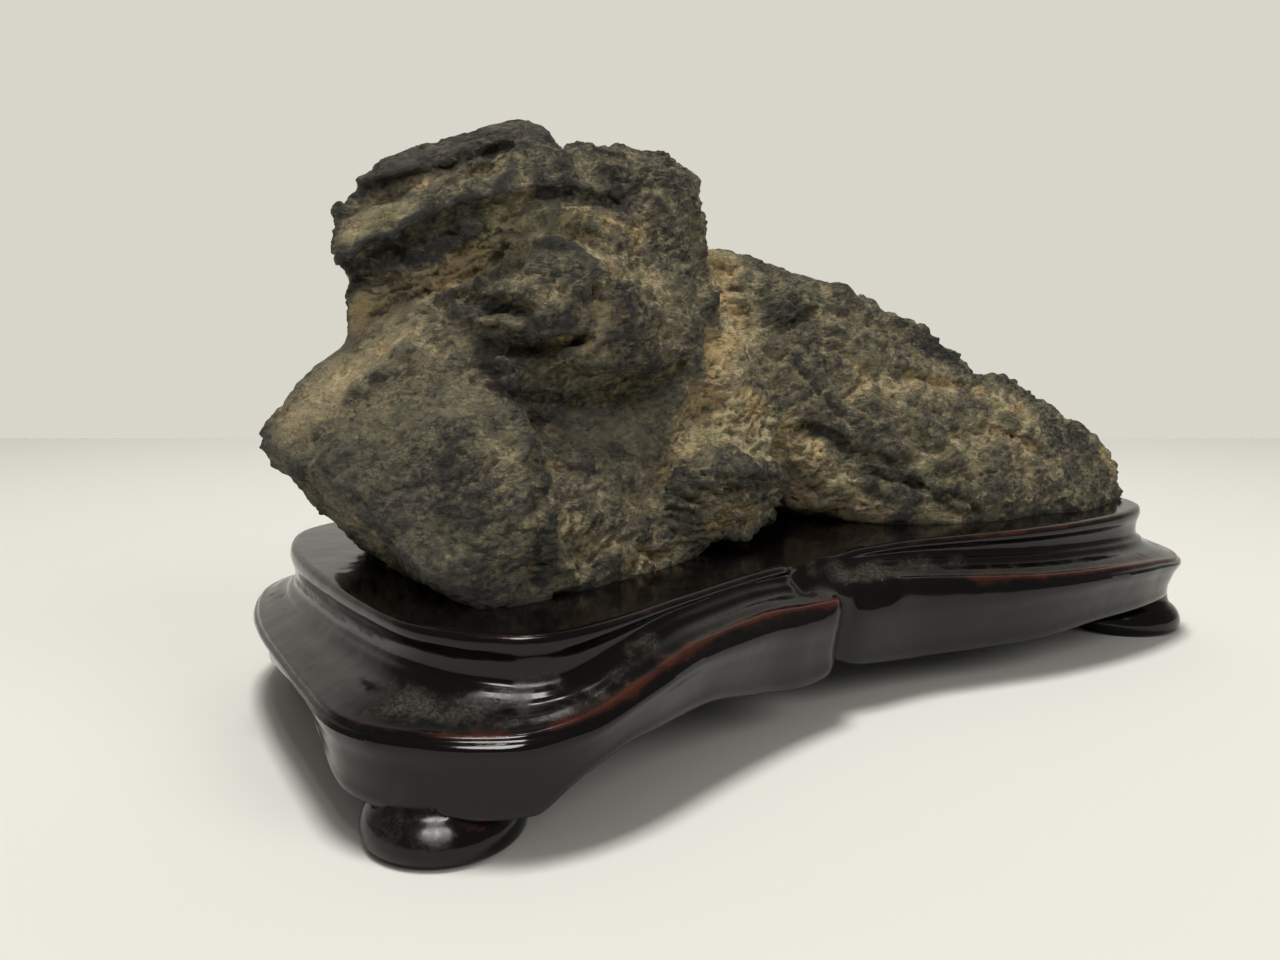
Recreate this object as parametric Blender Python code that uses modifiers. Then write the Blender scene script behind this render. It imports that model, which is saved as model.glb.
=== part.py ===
"""A scholars rock (suiseki) resting in the carved hardwood stand that was made for it.

Frame: metres, +Z up, the floor at Z = 0. +X runs along the stand, and -Y is its front.
The outline tables below are in millimetres, the unit that a carver would measure in.
"""

import math

import bmesh
import bpy
from mathutils import Matrix, Vector, noise

MM = 0.001

# ---- the stand ----
TOP_Z = 23.4          # the flat top that the stone's seat is carved into
HOLLOW_Z = 12.0       # the ceiling of the hollow under the stand
EDGE_ROUND = 0.8      # rounding of the rim's top edge
SKIRT_WALL = 4.2      # thickness of the apron seen from below
SAMPLE_STEP = 5.6     # spacing of the loft's columns along the outline

# One row per station of the carved edge, anticlockwise from the front left corner:
# rim x, rim y, ledge out, ledge z, apron top out, apron top z, apron foot out, apron foot z.
# "Out" is measured square to the rim's outline.
STATIONS = [
    (-71.8, -23.4, 8.3, 14.3, 8.8, 13.7, 7.0, 5.0),
    (-68.6, -30.0, 7.2, 14.2, 7.6, 13.6, 6.6, 4.6),
    (-64.5, -34.4, 6.3, 14.2, 6.8, 13.6, 6.2, 4.6),
    (-61.8, -36.3, 5.7, 14.4, 6.2, 13.6, 5.7, 4.8),
    (-57.4, -37.5, 4.9, 15.3, 5.6, 14.0, 4.6, 8.4),
    (-50.1, -36.8, 4.6, 17.3, 5.4, 16.1, 4.2, 10.2),
    (-39.4, -34.2, 4.2, 19.0, 5.2, 17.6, 3.8, 10.2),
    (-27.1, -31.3, 4.3, 19.2, 5.4, 17.4, 3.8, 7.9),
    (-18.0, -29.9, 4.8, 18.6, 5.6, 16.3, 4.2, 6.6),
    (-13.0, -29.5, 5.0, 18.4, 5.5, 16.0, 4.2, 7.0),
    (-11.2, -29.4, 4.0, 18.4, 4.4, 16.0, 3.4, 8.5),
    (-10.4, -29.3, 1.8, 18.8, 2.0, 16.2, 1.6, 8.5),
    (-9.2, -29.3, 2.6, 19.4, 2.9, 15.6, 2.0, 8.0),
    (-4.0, -29.1, 3.6, 19.5, 4.2, 15.0, 3.0, 6.6),
    (7.5, -29.4, 4.2, 18.6, 5.0, 14.6, 3.6, 5.6),
    (20.0, -32.2, 4.6, 17.6, 5.4, 14.6, 3.8, 5.5),
    (32.0, -35.0, 4.9, 16.8, 5.6, 15.2, 4.0, 5.8),
    (45.0, -36.6, 5.0, 16.2, 5.7, 15.3, 4.2, 6.6),
    (58.6, -36.4, 5.4, 15.4, 6.0, 14.8, 4.8, 5.0),
    (68.0, -33.2, 6.9, 14.4, 7.4, 13.8, 5.8, 4.7),
    (73.0, -25.0, 6.6, 14.4, 7.0, 13.8, 5.6, 5.0),
    (74.2, -13.0, 6.0, 14.8, 6.6, 14.0, 4.6, 7.0),
    (74.8, 0.0, 5.5, 15.2, 6.1, 14.4, 4.2, 8.2),
    (73.6, 13.0, 6.0, 14.8, 6.6, 14.0, 4.6, 7.0),
    (69.6, 24.0, 6.4, 14.4, 6.9, 13.8, 5.6, 5.0),
    (61.0, 30.0, 6.0, 14.5, 6.5, 13.9, 5.4, 4.7),
    (49.0, 31.8, 5.2, 15.6, 5.9, 14.8, 4.2, 6.8),
    (35.0, 30.2, 5.0, 16.8, 5.6, 15.6, 4.0, 6.0),
    (20.0, 27.6, 4.6, 17.8, 5.4, 15.6, 3.8, 5.8),
    (9.0, 26.8, 5.0, 18.4, 5.5, 16.0, 4.2, 7.0),
    (6.8, 26.8, 4.0, 18.4, 4.4, 16.0, 3.4, 8.5),
    (6.0, 26.8, 1.8, 18.8, 2.0, 16.2, 1.6, 8.5),
    (4.6, 26.9, 2.6, 19.4, 2.9, 15.6, 2.0, 8.0),
    (-4.0, 27.8, 3.6, 19.2, 4.2, 15.4, 3.0, 6.6),
    (-17.0, 30.6, 4.4, 18.9, 5.2, 16.4, 3.8, 7.4),
    (-30.0, 34.0, 4.4, 18.6, 5.2, 17.0, 3.8, 9.4),
    (-42.0, 36.4, 4.6, 17.4, 5.4, 16.2, 4.0, 9.8),
    (-53.0, 37.4, 5.0, 15.4, 5.7, 14.4, 4.4, 7.6),
    (-61.2, 36.2, 5.6, 14.3, 6.1, 13.7, 5.2, 4.8),
    (-67.4, 32.0, 5.6, 14.2, 6.0, 13.6, 5.0, 5.2),
    (-71.4, 23.0, 5.2, 14.2, 5.7, 13.6, 4.0, 5.6),
    (-73.1, 11.3, 5.6, 14.3, 6.1, 13.7, 4.2, 8.0),
    (-73.4, -2.0, 6.3, 14.4, 6.8, 13.8, 4.4, 8.6),
    (-73.0, -13.0, 7.2, 14.4, 7.7, 13.8, 5.0, 7.5),
]

# Each foot is a turned, slightly oval cushion: name, x, y, radius, stretch, angle of the stretch.
FEET = [
    ("front_left", -69.8, -29.6, 9.4, 1.00, 0),
    ("front_right", 66.8, -32.4, 8.8, 1.12, -35),
    ("back_right", 63.6, 24.6, 8.8, 1.08, 35),
    ("back_left", -60.4, 30.4, 8.8, 1.00, 0),
]
# Radius and height of the cushion's profile, as shares of its radius and in millimetres.
FOOT_PROFILE = [
    (0.95, 0.0), (1.01, 0.7), (1.02, 2.2), (0.95, 3.4), (0.82, 4.4), (0.62, 5.4), (0.62, 12.6),
]
FOOT_SIDES = 24

# Drill-like hollows where the rim of the left lobe curls in beside the waist: centre and radii.
WAIST_POCKETS = [
    ((-15.6, -31.0, 20.6), (1.9, 2.0, 2.3)),
    ((-9.6, -29.6, 21.2), (1.5, 1.6, 1.2)),
]

# ---- the stone ----
SEAT_GAP = 0.3        # clearance between the stone and the seat that is carved for it
STONE_VOXEL = 1.3     # grid on which the masses are fused into one stone
STONE_TRIANGLES = 4300

# The stone is one piece. It is built from its masses, each the hull of a few corner points.
MASSES = {
    "left_boulder": [
        (-78.2, 12.5, 42.0), (-75.8, 16.0, 37.2), (-72.0, -4.0, 37.2), (-69.0, -15.0, 31.0),
        (-66.0, -22.0, 25.6), (-60.0, -26.0, 21.2), (-52.0, -25.8, 21.2), (-51.5, -24.6, 37.0),
        (-63.0, -19.6, 39.0), (-50.0, -13.0, 52.5), (-61.4, -1.0, 54.0), (-53.0, -2.2, 58.4),
        (-66.4, 13.6, 53.6), (-71.6, 17.0, 46.6), (-60.0, 25.0, 50.0), (-59.0, 26.0, 27.0),
        (-60.5, 4.0, 20.6), (-60.5, -14.0, 20.6), (-48.0, 22.0, 20.6), (-40.0, 20.0, 52.0),
    ],
    "neck": [
        (-65.0, 13.0, 54.0), (-62.4, 14.0, 58.4), (-64.4, 13.0, 62.6), (-57.0, 1.0, 63.0),
        (-60.0, -1.4, 54.0), (-50.0, -7.0, 63.0), (-50.0, -8.0, 56.0), (-60.0, 25.0, 60.0),
        (-56.0, 25.0, 52.0), (-44.0, 10.0, 66.0), (-44.0, 8.0, 52.0),
    ],
    "base_block": [
        (-53.0, -24.0, 37.6), (-44.5, -19.0, 38.8), (-36.0, -15.5, 38.0), (-48.0, -24.4, 21.0),
        (-40.0, -20.6, 21.0), (-30.0, -18.6, 21.0), (-29.0, -13.0, 35.0), (-50.0, 14.0, 21.0),
        (-20.0, 14.0, 21.0), (-50.0, 14.0, 46.0), (-20.0, 12.0, 46.0), (-22.0, -17.4, 21.0),
    ],
    "core": [
        (-52.0, -6.0, 56.0), (-31.0, -10.6, 44.0), (-44.0, -11.6, 46.0), (-25.0, -10.4, 43.0),
        (-20.0, -8.0, 40.0), (-8.0, -4.0, 42.0), (-12.0, -1.0, 62.0), (-28.0, -2.0, 70.0),
        (-50.0, 4.0, 70.0), (-56.0, 22.0, 66.0), (-30.0, 27.0, 72.0), (-6.0, 24.0, 66.0),
        (2.0, 25.0, 46.0), (-58.0, 29.0, 44.0), (-40.0, 31.0, 21.0), (2.0, 23.0, 21.0),
        (-10.0, -12.0, 22.0),
    ],
    "head": [
        (-67.0, 13.0, 66.2), (-66.4, 14.0, 71.0), (-63.2, 15.0, 75.6), (-58.0, 14.0, 79.6),
        (-50.0, 14.0, 84.4), (-43.6, 14.0, 86.8), (-34.0, 14.0, 87.8), (-30.4, 14.0, 85.0),
        (-65.0, 8.0, 66.0), (-57.4, 2.4, 69.4), (-51.6, -1.6, 73.0), (-46.6, -5.6, 75.2),
        (-40.0, -7.0, 76.4), (-35.0, -2.0, 81.0), (-60.0, 24.0, 67.0), (-56.0, 25.0, 75.0),
        (-42.0, 26.0, 81.0), (-33.0, 24.0, 82.0), (-60.0, 14.0, 61.0), (-50.0, 4.0, 62.0),
        (-38.0, -3.0, 62.0), (-34.0, 22.0, 60.0),
    ],
    "second_block": [
        (-29.0, 14.0, 84.6), (-22.0, 14.0, 86.2), (-15.4, 14.0, 86.8), (-5.0, 13.6, 86.0),
        (-0.2, 12.0, 82.0), (-1.4, 10.0, 76.6), (-4.0, 8.0, 71.0), (-27.0, 2.0, 80.0),
        (-14.0, 2.6, 80.4), (-9.0, 1.6, 72.0), (-30.0, -4.0, 68.0), (-10.0, -1.0, 62.0),
        (-28.0, 25.0, 78.0), (-8.0, 24.0, 77.0), (-4.0, 22.0, 68.0), (-24.0, 26.0, 64.0),
    ],
    "back_shoulder": [
        (-50.0, 24.0, 20.8), (-44.0, 32.4, 26.0), (-30.0, 33.4, 34.0), (-22.0, 30.0, 47.0),
        (-36.0, 28.0, 58.0), (-12.0, 27.0, 52.0), (-20.0, 28.6, 20.8), (-38.0, 31.6, 20.8),
        (-8.0, 25.0, 24.0), (-20.0, 20.0, 62.0),
    ],
    "back_foot": [
        (14.0, 20.0, 21.0), (22.0, 25.6, 21.4), (34.0, 27.4, 22.0), (46.0, 25.0, 21.0),
        (30.0, 24.0, 37.0), (42.0, 19.0, 34.0), (20.0, 20.0, 42.0), (36.0, 12.0, 40.0),
    ],
    "nose": [
        (-41.0, -7.4, 69.4), (-49.6, -7.4, 64.4), (-51.6, -10.6, 56.4), (-46.6, -14.8, 60.6),
        (-44.0, -15.6, 52.4), (-38.6, -15.6, 49.4), (-36.6, -14.6, 62.0), (-31.0, -14.2, 57.0),
        (-23.4, -8.4, 59.0), (-25.0, -10.6, 50.4), (-31.6, -6.0, 67.6), (-22.0, -3.4, 64.0),
        (-34.0, 6.0, 60.0), (-46.0, 4.0, 52.0), (-22.0, 2.0, 52.0),
    ],
    "striated_lump": [
        (-31.6, -17.6, 31.4), (-24.4, -20.8, 34.4), (-17.6, -20.2, 36.0), (-9.0, -16.6, 34.4),
        (1.6, -11.6, 30.6), (-6.0, -15.0, 26.6), (-17.0, -19.0, 25.6), (-26.0, -19.8, 25.0),
        (-20.0, -8.0, 41.0), (-6.0, -2.0, 38.0), (-20.0, 4.0, 26.0), (0.0, 2.0, 28.0),
    ],
    "saddle": [
        (-37.0, -5.6, 75.0), (-30.0, -3.0, 76.0), (-24.0, 0.0, 77.0), (-34.0, 4.0, 81.0),
        (-26.0, 8.0, 82.0), (-32.0, -6.0, 66.0), (-22.0, -2.0, 66.0), (-32.0, 20.0, 80.0),
        (-26.0, 20.0, 70.0),
    ],
    "valley": [
        (-22.0, -4.0, 63.0), (-10.0, 1.0, 66.0), (-4.0, 0.0, 56.0), (-22.0, -8.0, 44.0),
        (-12.0, -11.0, 41.0), (0.0, -10.0, 40.0), (-6.0, -13.0, 35.0), (-30.0, -4.0, 70.0),
        (-16.0, 1.0, 76.0), (-20.0, 14.0, 70.0), (4.0, 14.0, 60.0), (-30.0, 4.0, 44.0),
        (2.0, 8.0, 40.0),
    ],
    "right_slope": [
        (-6.0, 6.0, 69.6), (4.0, 7.0, 68.8), (12.0, 5.0, 66.8), (20.0, 4.0, 64.6),
        (28.0, 1.0, 61.6), (38.0, -2.6, 56.6), (46.6, -7.6, 52.0), (-8.0, -3.0, 45.0),
        (8.0, -12.6, 41.0), (6.0, -10.0, 25.6), (14.0, -18.0, 24.0), (22.0, -23.6, 22.0),
        (34.0, -26.6, 30.0), (34.0, -27.6, 21.6), (52.0, -30.6, 21.6), (50.0, -18.0, 42.0),
        (0.0, 24.0, 60.0), (20.0, 21.0, 54.0), (40.0, 16.0, 44.0), (2.0, 23.0, 21.0),
        (34.0, 25.0, 21.0), (54.0, 19.0, 30.0), (58.0, 14.0, 21.0),
    ],
    "right_end": [
        (51.0, -10.0, 47.6), (54.6, -12.4, 46.8), (62.0, -16.2, 42.2), (66.4, -19.2, 39.2),
        (70.4, -22.4, 35.8), (72.4, -24.4, 32.0), (74.0, -26.0, 26.0), (71.0, -29.6, 21.4),
        (60.0, -31.6, 21.4), (48.0, -31.2, 21.6), (46.0, -25.0, 36.0), (71.0, -12.0, 21.4),
        (68.0, 4.0, 21.4), (60.0, 14.0, 21.4), (40.0, 20.0, 21.4), (44.0, 12.0, 41.0),
        (60.0, -2.0, 38.0), (66.0, 2.0, 30.0),
    ],
}
SMOOTH_PASSES = 3
ROUGHNESS = [(14.0, 1.1), (6.5, 0.55)]    # wavelength and height of the weathered surface


def clear_scene():
    for obj in list(bpy.data.objects):
        bpy.data.objects.remove(obj, do_unlink=True)


def new_collection(name):
    collection = bpy.data.collections.new(name)
    bpy.context.scene.collection.children.link(collection)
    return collection


def new_material(name, colour, roughness, metallic=0.0):
    material = bpy.data.materials.new(name)
    material.use_nodes = True
    shader = material.node_tree.nodes["Principled BSDF"]
    shader.inputs["Base Color"].default_value = (*colour, 1.0)
    shader.inputs["Roughness"].default_value = roughness
    shader.inputs["Metallic"].default_value = metallic
    return material


def new_object(name, mesh, collection, material=None):
    obj = bpy.data.objects.new(name, mesh)
    collection.objects.link(obj)
    if material:
        mesh.materials.clear()
        mesh.materials.append(material)
    return obj


def mesh_from_bmesh(name, bm):
    bmesh.ops.recalc_face_normals(bm, faces=bm.faces)
    mesh = bpy.data.meshes.new(name)
    bm.to_mesh(mesh)
    bm.free()
    return mesh


def evaluated_mesh(obj, name):
    """A new mesh that holds the object with its modifiers applied."""
    graph = bpy.context.evaluated_depsgraph_get()
    graph.update()
    return bpy.data.meshes.new_from_object(obj.evaluated_get(graph), depsgraph=graph)


def loft(rings):
    """A closed solid through rings of equal length, with a flat cap on the first and the last."""
    bm = bmesh.new()
    loops = [[bm.verts.new(Vector(point) * MM) for point in ring] for ring in rings]
    count = len(rings[0])
    for upper, lower in zip(loops, loops[1:]):
        for i in range(count):
            j = (i + 1) % count
            bm.faces.new((upper[i], upper[j], lower[j], lower[i]))
    bm.faces.new(loops[0])
    bm.faces.new(reversed(loops[-1]))
    return bm


# ---- the stand's outline ----


def spline(values, i, t):
    """A smooth closed curve through the values, for places."""
    count = len(values)
    a, b, c, d = (values[(i + k) % count] for k in (-1, 0, 1, 2))
    bend = (2 * a - 5 * b + 4 * c - d) * t**2 + (3 * b - a - 3 * c + d) * t**3
    return 0.5 * (2 * b + (c - a) * t + bend)


def slope(before, after):
    """The slope at a station that never overshoots its neighbours."""
    return 0.0 if before * after <= 0 else 2 * before * after / (before + after)


def blend(values, i, t):
    """A closed curve through the values that keeps the steps at the waist crisp, for offsets and heights."""
    count = len(values)
    a, b, c, d = (values[(i + k) % count] for k in (-1, 0, 1, 2))
    m0, m1 = slope(b - a, c - b), slope(c - b, d - c)
    start = (2 * t**3 - 3 * t**2 + 1) * b + (t**3 - 2 * t**2 + t) * m0
    end = (3 * t**2 - 2 * t**3) * c + (t**3 - t**2) * m1
    return start + end


def edge_columns():
    """For each column of the loft: its point on the rim, the outward direction, and the six edge values."""
    columns = []
    across = list(zip(*STATIONS))
    for i, row in enumerate(STATIONS):
        following = STATIONS[(i + 1) % len(STATIONS)]
        length = math.dist(row[:2], following[:2])
        steps = max(1, round(length / SAMPLE_STEP))
        for k in range(steps):
            t = k / steps
            point = Vector((spline(across[0], i, t), spline(across[1], i, t)))
            ahead = Vector((spline(across[0], i, t + 0.01), spline(across[1], i, t + 0.01)))
            along = (ahead - point).normalized()
            outward = Vector((along.y, -along.x))
            columns.append((point, outward, [blend(values, i, t) for values in across[2:]]))
    return columns


def edge_section(values):
    """The carved profile at one column, from the flat top outwards and down, as (out, z) pairs."""
    ledge_out, ledge_z, top_out, top_z, foot_out, foot_z = values
    rim_foot_z = ledge_z + 1.7 + 0.4 * max(0.0, ledge_out - 4.0)
    face = TOP_Z - rim_foot_z
    drop = top_z - foot_z
    lean = top_out - foot_out
    return [
        (-EDGE_ROUND - 0.2, TOP_Z),
        (-0.3 * EDGE_ROUND, TOP_Z - 0.3 * EDGE_ROUND),
        (0.0, TOP_Z - EDGE_ROUND),
        (-0.5, TOP_Z - 0.55 * face),
        (-0.1, rim_foot_z + 0.5),
        (0.7, rim_foot_z),
        (0.9, rim_foot_z - 0.5),
        (0.55 * ledge_out, ledge_z + 0.42 * (rim_foot_z - ledge_z)),
        (ledge_out - 0.9, ledge_z + 0.2),
        (ledge_out, ledge_z),
        (top_out, top_z),
        (top_out - 0.45 * lean, top_z - 0.35 * drop),
        (top_out - 0.95 * lean, top_z - 0.75 * drop),
        (foot_out, foot_z + 0.6),
        (foot_out - 0.7, foot_z),
        (foot_out - SKIRT_WALL, foot_z + 0.4),
        (foot_out - SKIRT_WALL - 1.5, HOLLOW_Z),
    ]


def stand_body():
    columns = edge_columns()
    sections = [edge_section(values) for _, _, values in columns]
    rings = []
    for level in range(len(sections[0])):
        ring = []
        for (point, outward, _), section in zip(columns, sections):
            out, z = section[level]
            place = point + outward * out
            ring.append((place.x, place.y, z))
        rings.append(ring)
    return mesh_from_bmesh("stand", loft(rings))


def foot_mesh(x, y, radius, stretch, turn):
    turned = Matrix.Rotation(math.radians(turn), 2)
    rings = []
    for share, z in FOOT_PROFILE:
        ring = []
        for i in range(FOOT_SIDES):
            angle = math.tau * i / FOOT_SIDES
            oval = Vector((stretch * math.cos(angle), math.sin(angle) / stretch)) * radius * share
            across = turned @ oval
            ring.append((x + across.x, y + across.y, z))
        rings.append(ring)
    return mesh_from_bmesh("foot", loft(rings))


def pocket_mesh(centre, radii):
    bm = bmesh.new()
    bmesh.ops.create_uvsphere(bm, u_segments=14, v_segments=8, radius=MM)
    bmesh.ops.scale(bm, vec=Vector(radii), verts=bm.verts)
    bmesh.ops.translate(bm, vec=Vector(centre) * MM, verts=bm.verts)
    return mesh_from_bmesh("pocket", bm)


# ---- the stone ----


def masses_mesh():
    bm = bmesh.new()
    for points in MASSES.values():
        corners = [bm.verts.new(Vector(point) * MM) for point in points]
        hull = bmesh.ops.convex_hull(bm, input=corners)
        spare = [item for item in hull["geom_interior"] if isinstance(item, bmesh.types.BMVert)]
        bmesh.ops.delete(bm, geom=spare, context="VERTS")
    return mesh_from_bmesh("masses", bm)


def weather(mesh):
    """Rounds the fused masses and gives them a stone's uneven surface."""
    bm = bmesh.new()
    bm.from_mesh(mesh)
    for _ in range(SMOOTH_PASSES):
        bmesh.ops.smooth_vert(
            bm, verts=bm.verts, factor=0.5, use_axis_x=True, use_axis_y=True, use_axis_z=True
        )
    bm.normal_update()
    moves = []
    for vert in bm.verts:
        height = sum(size * noise.noise(vert.co / (MM * wave)) for wave, size in ROUGHNESS)
        moves.append(vert.normal * height * MM)
    for vert, move in zip(bm.verts, moves):
        vert.co += move
    bm.to_mesh(mesh)
    bm.free()


def stone_mesh(workbench):
    masses = new_object("masses", masses_mesh(), workbench)
    remesh = masses.modifiers.new("fuse", "REMESH")
    remesh.mode = "VOXEL"
    remesh.voxel_size = STONE_VOXEL * MM
    fused = evaluated_mesh(masses, "fused")
    bpy.data.objects.remove(masses, do_unlink=True)
    weather(fused)
    rough = new_object("rough", fused, workbench)
    fused.calc_loop_triangles()
    thin = rough.modifiers.new("thin", "DECIMATE")
    thin.ratio = STONE_TRIANGLES / len(fused.loop_triangles)
    stone = evaluated_mesh(rough, "stone")
    bpy.data.objects.remove(rough, do_unlink=True)
    return stone


def swollen_copy(mesh, gap):
    """The stone grown by the gap, which is the shape of the seat."""
    copy = mesh.copy()
    bm = bmesh.new()
    bm.from_mesh(copy)
    bm.normal_update()
    for vert in bm.verts:
        vert.co += vert.normal * gap * MM
    bm.to_mesh(copy)
    bm.free()
    return copy


def boolean(obj, other, operation):
    modifier = obj.modifiers.new(other.name, "BOOLEAN")
    modifier.operation = operation
    modifier.object = other


def hide_cutter(obj):
    obj.hide_render = True
    obj.display_type = "WIRE"


def main():
    clear_scene()
    parts = new_collection("scholars_rock")
    cutters = new_collection("cutters")

    lacquer = new_material("black_lacquer", (0.012, 0.008, 0.008), 0.22)
    rock = new_material("weathered_stone", (0.075, 0.062, 0.048), 0.8)

    stone = new_object("stone", stone_mesh(cutters), parts, rock)
    stand = new_object("stand", stand_body(), parts, lacquer)

    for name, *values in FEET:
        foot = new_object("foot_" + name, foot_mesh(*values), cutters)
        hide_cutter(foot)
        boolean(stand, foot, "UNION")
    for index, (centre, radii) in enumerate(WAIST_POCKETS):
        pocket = new_object(f"pocket_{index}", pocket_mesh(centre, radii), cutters)
        hide_cutter(pocket)
        boolean(stand, pocket, "DIFFERENCE")
    seat = new_object("seat", swollen_copy(stone.data, SEAT_GAP), cutters)
    hide_cutter(seat)
    boolean(stand, seat, "DIFFERENCE")

    stone.data.shade_smooth()
    stand.data.set_sharp_from_angle(angle=math.radians(40))


main()
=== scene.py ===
# %% [markdown]
# # A scholars rock on its carved stand
#
# A scholars rock is a found stone that is shown like a landscape. It sits loose in a low
# stand that was carved for it. Two pieces are finished here, the stone and the stand, on
# top of a plain model that already has their true size and place. That model is loaded
# first, because the finished pieces must fill the same space.

# %% Load the plain model
import math

import bmesh
import bpy
import numpy as np
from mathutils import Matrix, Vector, noise
from mathutils.bvhtree import BVHTree
from mathutils.kdtree import KDTree


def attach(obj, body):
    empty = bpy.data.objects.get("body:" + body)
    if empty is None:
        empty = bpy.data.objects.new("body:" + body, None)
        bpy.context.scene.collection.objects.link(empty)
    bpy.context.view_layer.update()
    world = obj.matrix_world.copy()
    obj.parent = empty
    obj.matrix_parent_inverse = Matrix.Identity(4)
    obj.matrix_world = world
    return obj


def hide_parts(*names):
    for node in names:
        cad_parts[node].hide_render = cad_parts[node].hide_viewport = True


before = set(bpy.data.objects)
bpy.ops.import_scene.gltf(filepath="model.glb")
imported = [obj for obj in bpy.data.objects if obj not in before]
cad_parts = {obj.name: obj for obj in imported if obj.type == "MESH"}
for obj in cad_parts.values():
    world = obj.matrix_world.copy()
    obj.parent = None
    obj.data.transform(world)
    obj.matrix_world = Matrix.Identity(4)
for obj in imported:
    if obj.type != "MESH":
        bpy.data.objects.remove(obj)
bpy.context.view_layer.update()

MM = 0.001


def added(name, data):
    """A new object in the scene."""
    obj = bpy.data.objects.new(name, data)
    bpy.context.scene.collection.objects.link(obj)
    return obj


def in_mm(sides):
    return [round(side / MM, 1) for side in sides]


# %% [markdown]
# ## The camera
#
# The camera stands close to the stone's left end and looks along the stand, slightly down.
# A wide lens this near makes the left end large and the right end small. The camera comes
# first because the sculpting below is done from its side, the way a sculptor works from one
# view at a time.

# %% Place the camera
EYE = Vector((-0.1118, -0.1301, 0.0589))
YAW = math.radians(34.6)
PITCH = math.radians(-9.69)
LENS = 28.0
SENSOR = 36.0
FRAME_WIDTH = 1280
FRAME_HEIGHT = 960

ahead = Vector((math.sin(YAW) * math.cos(PITCH), math.cos(YAW) * math.cos(PITCH), math.sin(PITCH)))
turned = ahead.to_track_quat("-Z", "Y")
camera = added("camera", bpy.data.cameras.new("camera"))
camera.data.lens = LENS
camera.data.sensor_width = SENSOR
camera.data.clip_start = 0.005
camera.location = EYE
camera.rotation_mode = "QUATERNION"
camera.rotation_quaternion = turned
bpy.context.scene.camera = camera
print("camera to the stand's middle, mm:", round((EYE - Vector((0, 0, 0.03))).length / MM))

# %% [markdown]
# ## Floor and wall
#
# The stone stands on white card with a pale wall behind it. The wall is the world's own
# colour, so nothing stands in the way when the object is looked at from behind. It fades to
# a dimmer room overhead and on the camera's side, because a black gloss shows everything it
# faces.

# %% Lay the floor and colour the wall
def plain_finish(name, colour, roughness):
    material = bpy.data.materials.new(name)
    material.use_nodes = True
    shader = material.node_tree.nodes["Principled BSDF"]
    shader.inputs["Base Color"].default_value = (*colour, 1)
    shader.inputs["Roughness"].default_value = roughness
    shader.inputs["Specular IOR Level"].default_value = 0.2
    return material


FLOOR_BEHIND = 0.290
FLOOR_REACH = 1.6
floor_mesh = bpy.data.meshes.new("floor")
floor_mesh.from_pydata(
    [(-FLOOR_REACH, -FLOOR_REACH, 0), (FLOOR_REACH, -FLOOR_REACH, 0),
     (FLOOR_REACH, FLOOR_BEHIND, 0), (-FLOOR_REACH, FLOOR_BEHIND, 0)], [], [(0, 1, 2, 3)])
floor = added("floor", floor_mesh)
floor.rotation_euler.z = -YAW
floor_mesh.materials.append(plain_finish("white_card", (0.69, 0.685, 0.645), 0.9))

WALL = (0.69, 0.67, 0.595)
ROOM = (0.17, 0.166, 0.155)
world = bpy.data.worlds.new("pale_wall")
world.use_nodes = True
sky = world.node_tree
facing = sky.nodes.new("ShaderNodeVectorMath")
facing.operation = "DOT_PRODUCT"
facing.inputs[1].default_value = Vector((math.sin(YAW), math.cos(YAW), -0.30))
sky.links.new(sky.nodes.new("ShaderNodeTexCoord").outputs["Generated"], facing.inputs[0])
fade = sky.nodes.new("ShaderNodeValToRGB")
fade.color_ramp.elements[0].color = (*ROOM, 1)
fade.color_ramp.elements[0].position = 0.1
fade.color_ramp.elements[1].color = (*WALL, 1)
fade.color_ramp.elements[1].position = 0.55
sky.links.new(facing.outputs["Value"], fade.inputs["Fac"])
sky.links.new(fade.outputs["Color"], sky.nodes["Background"].inputs["Color"])
bpy.context.scene.world = world
print("card in front of the wall, m:", FLOOR_REACH + FLOOR_BEHIND)

# %% [markdown]
# ## Light
#
# A soft lamp overhead makes the gentle shadow close round the feet, and a broad fill opens
# the dark side. Both are kept out of reflections, where they would lie on the gloss as white
# discs. Two small lamps beside the first make the short highlights of a polished edge. The
# broad one in front is the other way round: it is seen only in reflections, and it gives the
# apron and the feet their glow.

# %% Hang the lamps
def add_lamp(name, place, size, watts):
    """A round lamp that points at the object."""
    lamp = added(name, bpy.data.lights.new(name, "AREA"))
    lamp.data.shape = "DISK"
    lamp.data.size = size
    lamp.data.energy = watts
    lamp.data.color = (1.0, 0.985, 0.95)
    lamp.location = place
    lamp.rotation_mode = "QUATERNION"
    lamp.rotation_quaternion = (lamp.location - Vector((0, 0, 0.03))).to_track_quat("Z", "Y")
    return lamp


for lamp in (add_lamp("softbox", (-0.06, 0.02, 0.80), 0.20, 4.9),
             add_lamp("fill", (0.35, -0.75, 0.60), 0.60, 2.7)):
    lamp.visible_glossy = False
add_lamp("near_lamp", (-0.20, -0.06, 0.75), 0.05, 0.35)
add_lamp("far_lamp", (0.00, 0.06, 0.75), 0.07, 0.35)
add_lamp("front_lamp", (-0.38, -0.43, 0.60), 0.42, 7.8).visible_diffuse = False
bpy.context.scene.view_settings.view_transform = "Standard"
print("lamps and their watts:", {lamp.name: round(lamp.energy, 2) for lamp in bpy.data.lights})

# %% [markdown]
# ## Shader maths as Python
#
# A finish is a net of nodes. Written out as links it is hard to read, so one small class
# wraps a socket and lets `1 - mask` or `grain * 0.4 + 0.2` add the Math nodes. Another holds
# the material and has one method that adds any other node.

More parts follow.
